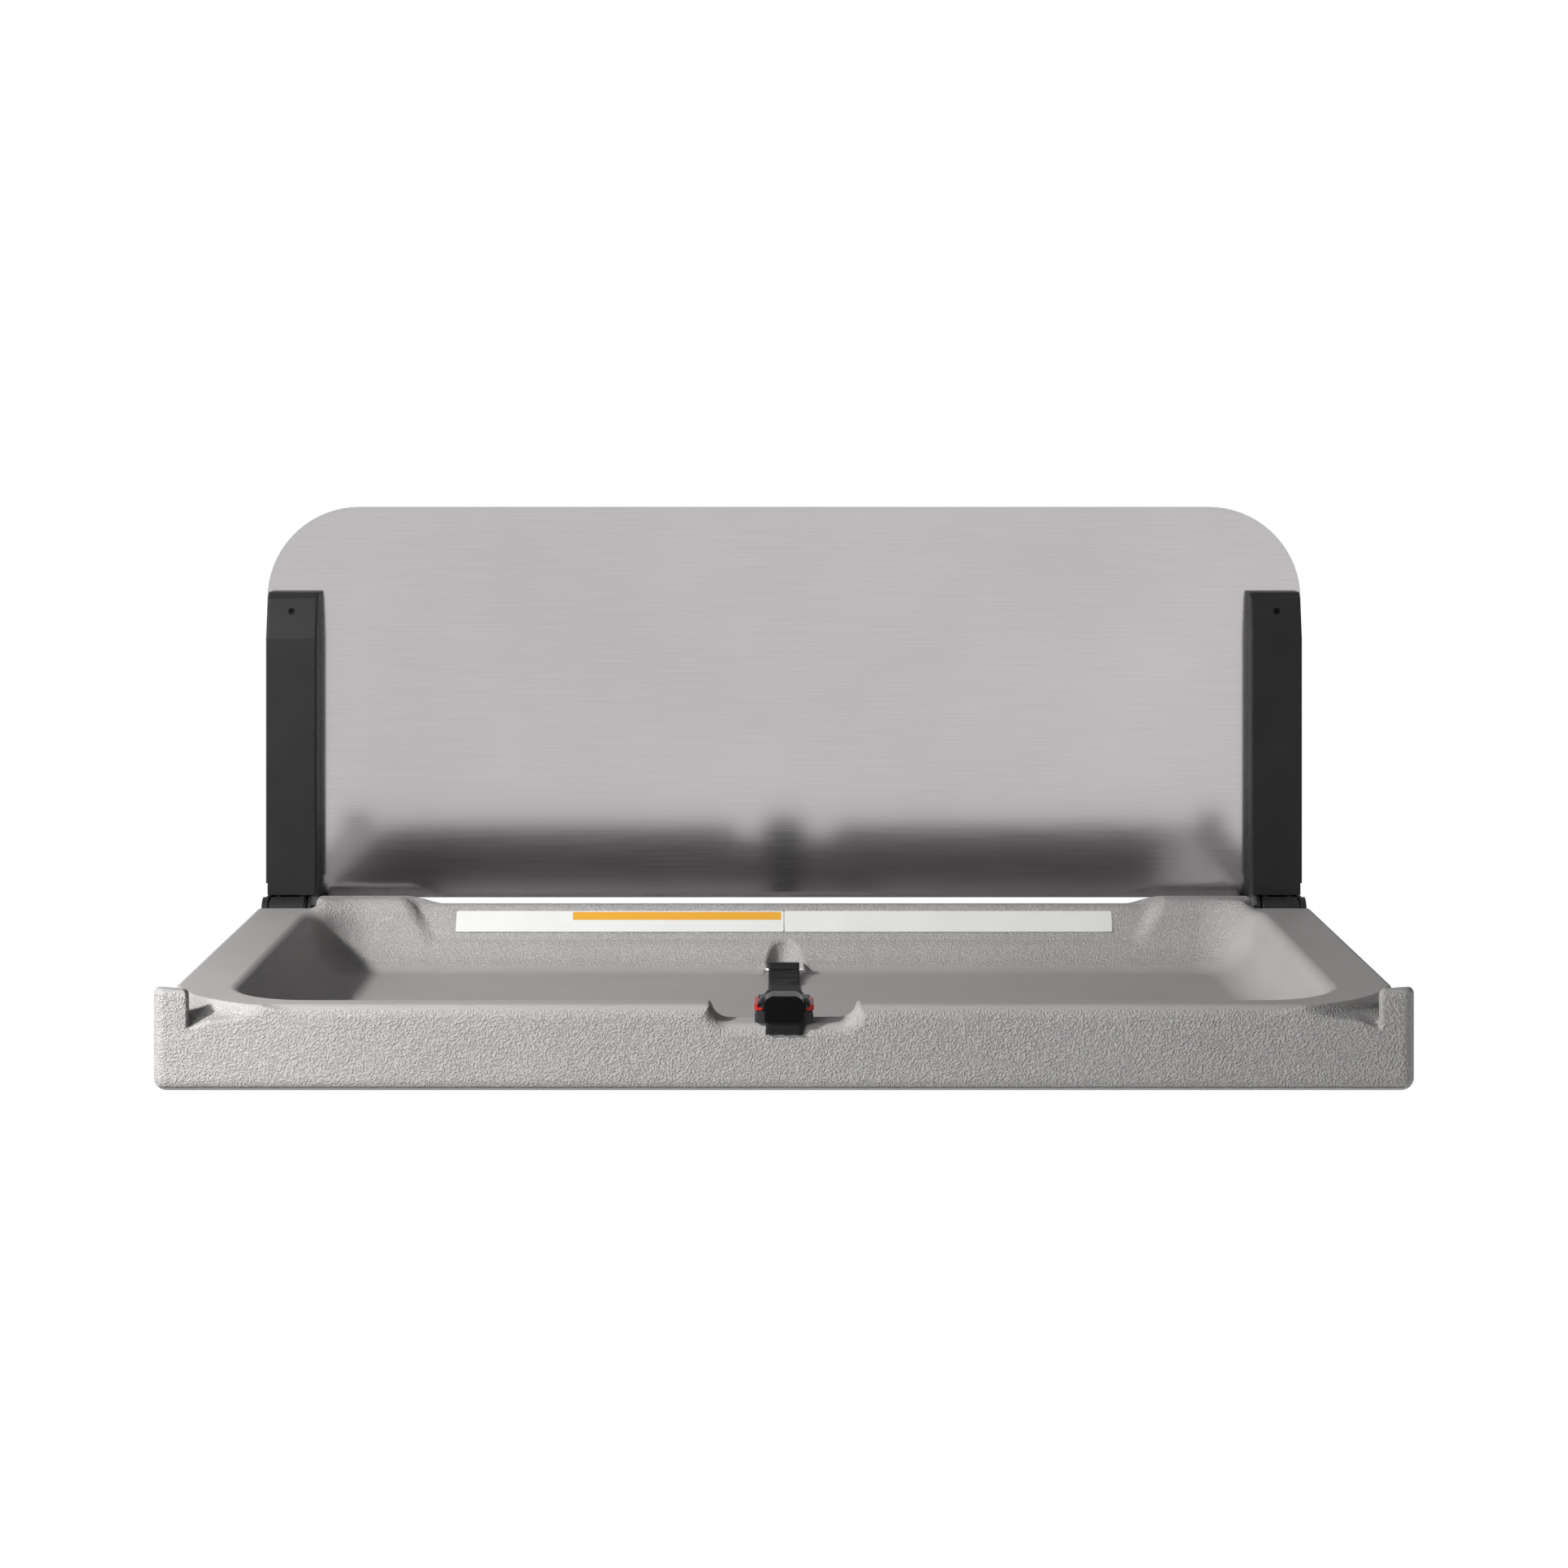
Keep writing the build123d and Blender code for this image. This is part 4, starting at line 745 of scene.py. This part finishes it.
body_of_field("buckle_cap_shell", cap, (-16, -518, RIM - 13), (16, -488, RIM + 10), 0.55, gloss,
              "bed", ["buckle_cap"])
body_of_field("buckle_body", housing, (-22.5, -511, RIM - 14), (22.5, -463, RIM + 7), 0.6,
              buckle_grey, "bed", ["buckle_housing"])
body_of_field("button_right", button, (14, -511, RIM - 5), (22.5, -476, RIM + 2), 0.4, red,
              "button_right", ["release_button_right"])
body_of_field("button_left", lambda x, y, z: button(-x, y, z), (-22.5, -511, RIM - 5),
              (-14, -476, RIM + 2), 0.4, red, "button_left", ["release_button_left"])


# The photograph's camera: level, 2.8 m from the wall, with its picture shifted down

camera_data = bpy.data.cameras.new("camera")
camera = bpy.data.objects.new("camera", camera_data)
bpy.context.scene.collection.objects.link(camera)
camera.location = (0.0, -2.796, 0.276)
camera.rotation_euler = (math.pi / 2, 0, 0)
camera_data.lens = 74.66  # 4007 px in the photograph, whose side is 1932 px
camera_data.sensor_width = 36.0
camera_data.shift_y = -0.236
bpy.context.scene.camera = camera


# Lamps, in metres and watts. The key casts the photo's shadows, and the fills aren't mirrored.

def area_light(name, at, towards, size, power):
    """A rectangular lamp that points from one place towards another."""
    data = bpy.data.lights.new(name, "AREA")
    data.shape = "RECTANGLE"
    data.size, data.size_y = size
    data.energy = power
    lamp = bpy.data.objects.new(name, data)
    bpy.context.scene.collection.objects.link(lamp)
    lamp.location = at
    lamp.rotation_euler = (Vector(towards) - Vector(at)).to_track_quat("-Z", "Y").to_euler()
    return lamp


area_light("key", (-1.34, -1.3, 0.66), (-0.05, -0.3, -0.15), (0.14, 0.14), 37)
area_light("top", (-1.2, -0.9, 1.9), (0, -0.3, -0.15), (0.4, 0.4), 0.6)
fills = [
    area_light("front", (-0.3, -4.0, -0.4), (0, 0, -0.15), (2.4, 1.2), 10),
    area_light("side", (-1.15, -2.2, 0.25), (0, -0.4, -0.15), (0.9, 0.5), 23),
    area_light("below", (0, 0.3, -2.6), (0, -0.25, -0.2), (2.2, 0.9), 45),
    area_light("back", (0, 3.2, 0.0), (0, 0, -0.1), (1.5, 1.6), 45),
    area_light("low_right", (2.6, -0.4, -0.8), (0.4, -0.25, -0.15), (1.0, 0.6), 30),
]
for lamp in fills:
    lamp.visible_glossy = False


# The white backdrop and the floor: white where they are seen, directly, mirrored or through
# glass, and something else for the light that they give.

WHITE = (1, 1, 1, 1)
FILL_STRENGTH = 0.02  # of the world's own light
FLOOR_HALF, FLOOR_Z = 8000, -3200  # mm


def seen_ray(tree):
    """1 where the ray comes from the camera, a mirror or glass, and else 0."""
    path = add(tree, "ShaderNodeLightPath").outputs
    mirrored = math_node(tree, "MAXIMUM", path["Is Glossy Ray"], path["Is Transmission Ray"])
    return math_node(tree, "MAXIMUM", path["Is Camera Ray"], mirrored)


world = bpy.data.worlds.new("world")
bpy.context.scene.world = world
world.use_nodes = True
tree = world.node_tree
tree.nodes.clear()
fill = add(tree, "ShaderNodeBackground", {"Color": WHITE, "Strength": FILL_STRENGTH}).outputs[0]
plain = add(tree, "ShaderNodeBackground", {"Color": WHITE, "Strength": 1.0}).outputs[0]
shown = add(tree, "ShaderNodeMixShader", {0: seen_ray(tree), 1: fill, 2: plain}).outputs[0]
add(tree, "ShaderNodeOutputWorld", {0: shown})

# The plain pale floor lies far below the camera, since the station hangs on a wall.
pale = bpy.data.materials.new("pale_floor")
pale.use_nodes = True
tree = pale.node_tree
tree.nodes.clear()
matte = add(tree, "ShaderNodeBsdfDiffuse", {"Color": (0.8, 0.8, 0.8, 1)}).outputs[0]
plain = add(tree, "ShaderNodeEmission", {"Color": WHITE, "Strength": 1.0}).outputs[0]
shown = add(tree, "ShaderNodeMixShader", {0: seen_ray(tree), 1: matte, 2: plain}).outputs[0]
add(tree, "ShaderNodeOutputMaterial", {0: shown})
corners = [(x * FLOOR_HALF, y * FLOOR_HALF, FLOOR_Z) for x, y in ((-1, -1), (1, -1), (1, 1), (-1, 1))]
new_mesh("floor", corners, [(0, 1, 2, 3)], pale)

view = bpy.context.scene.view_settings
view.view_transform = "Standard"
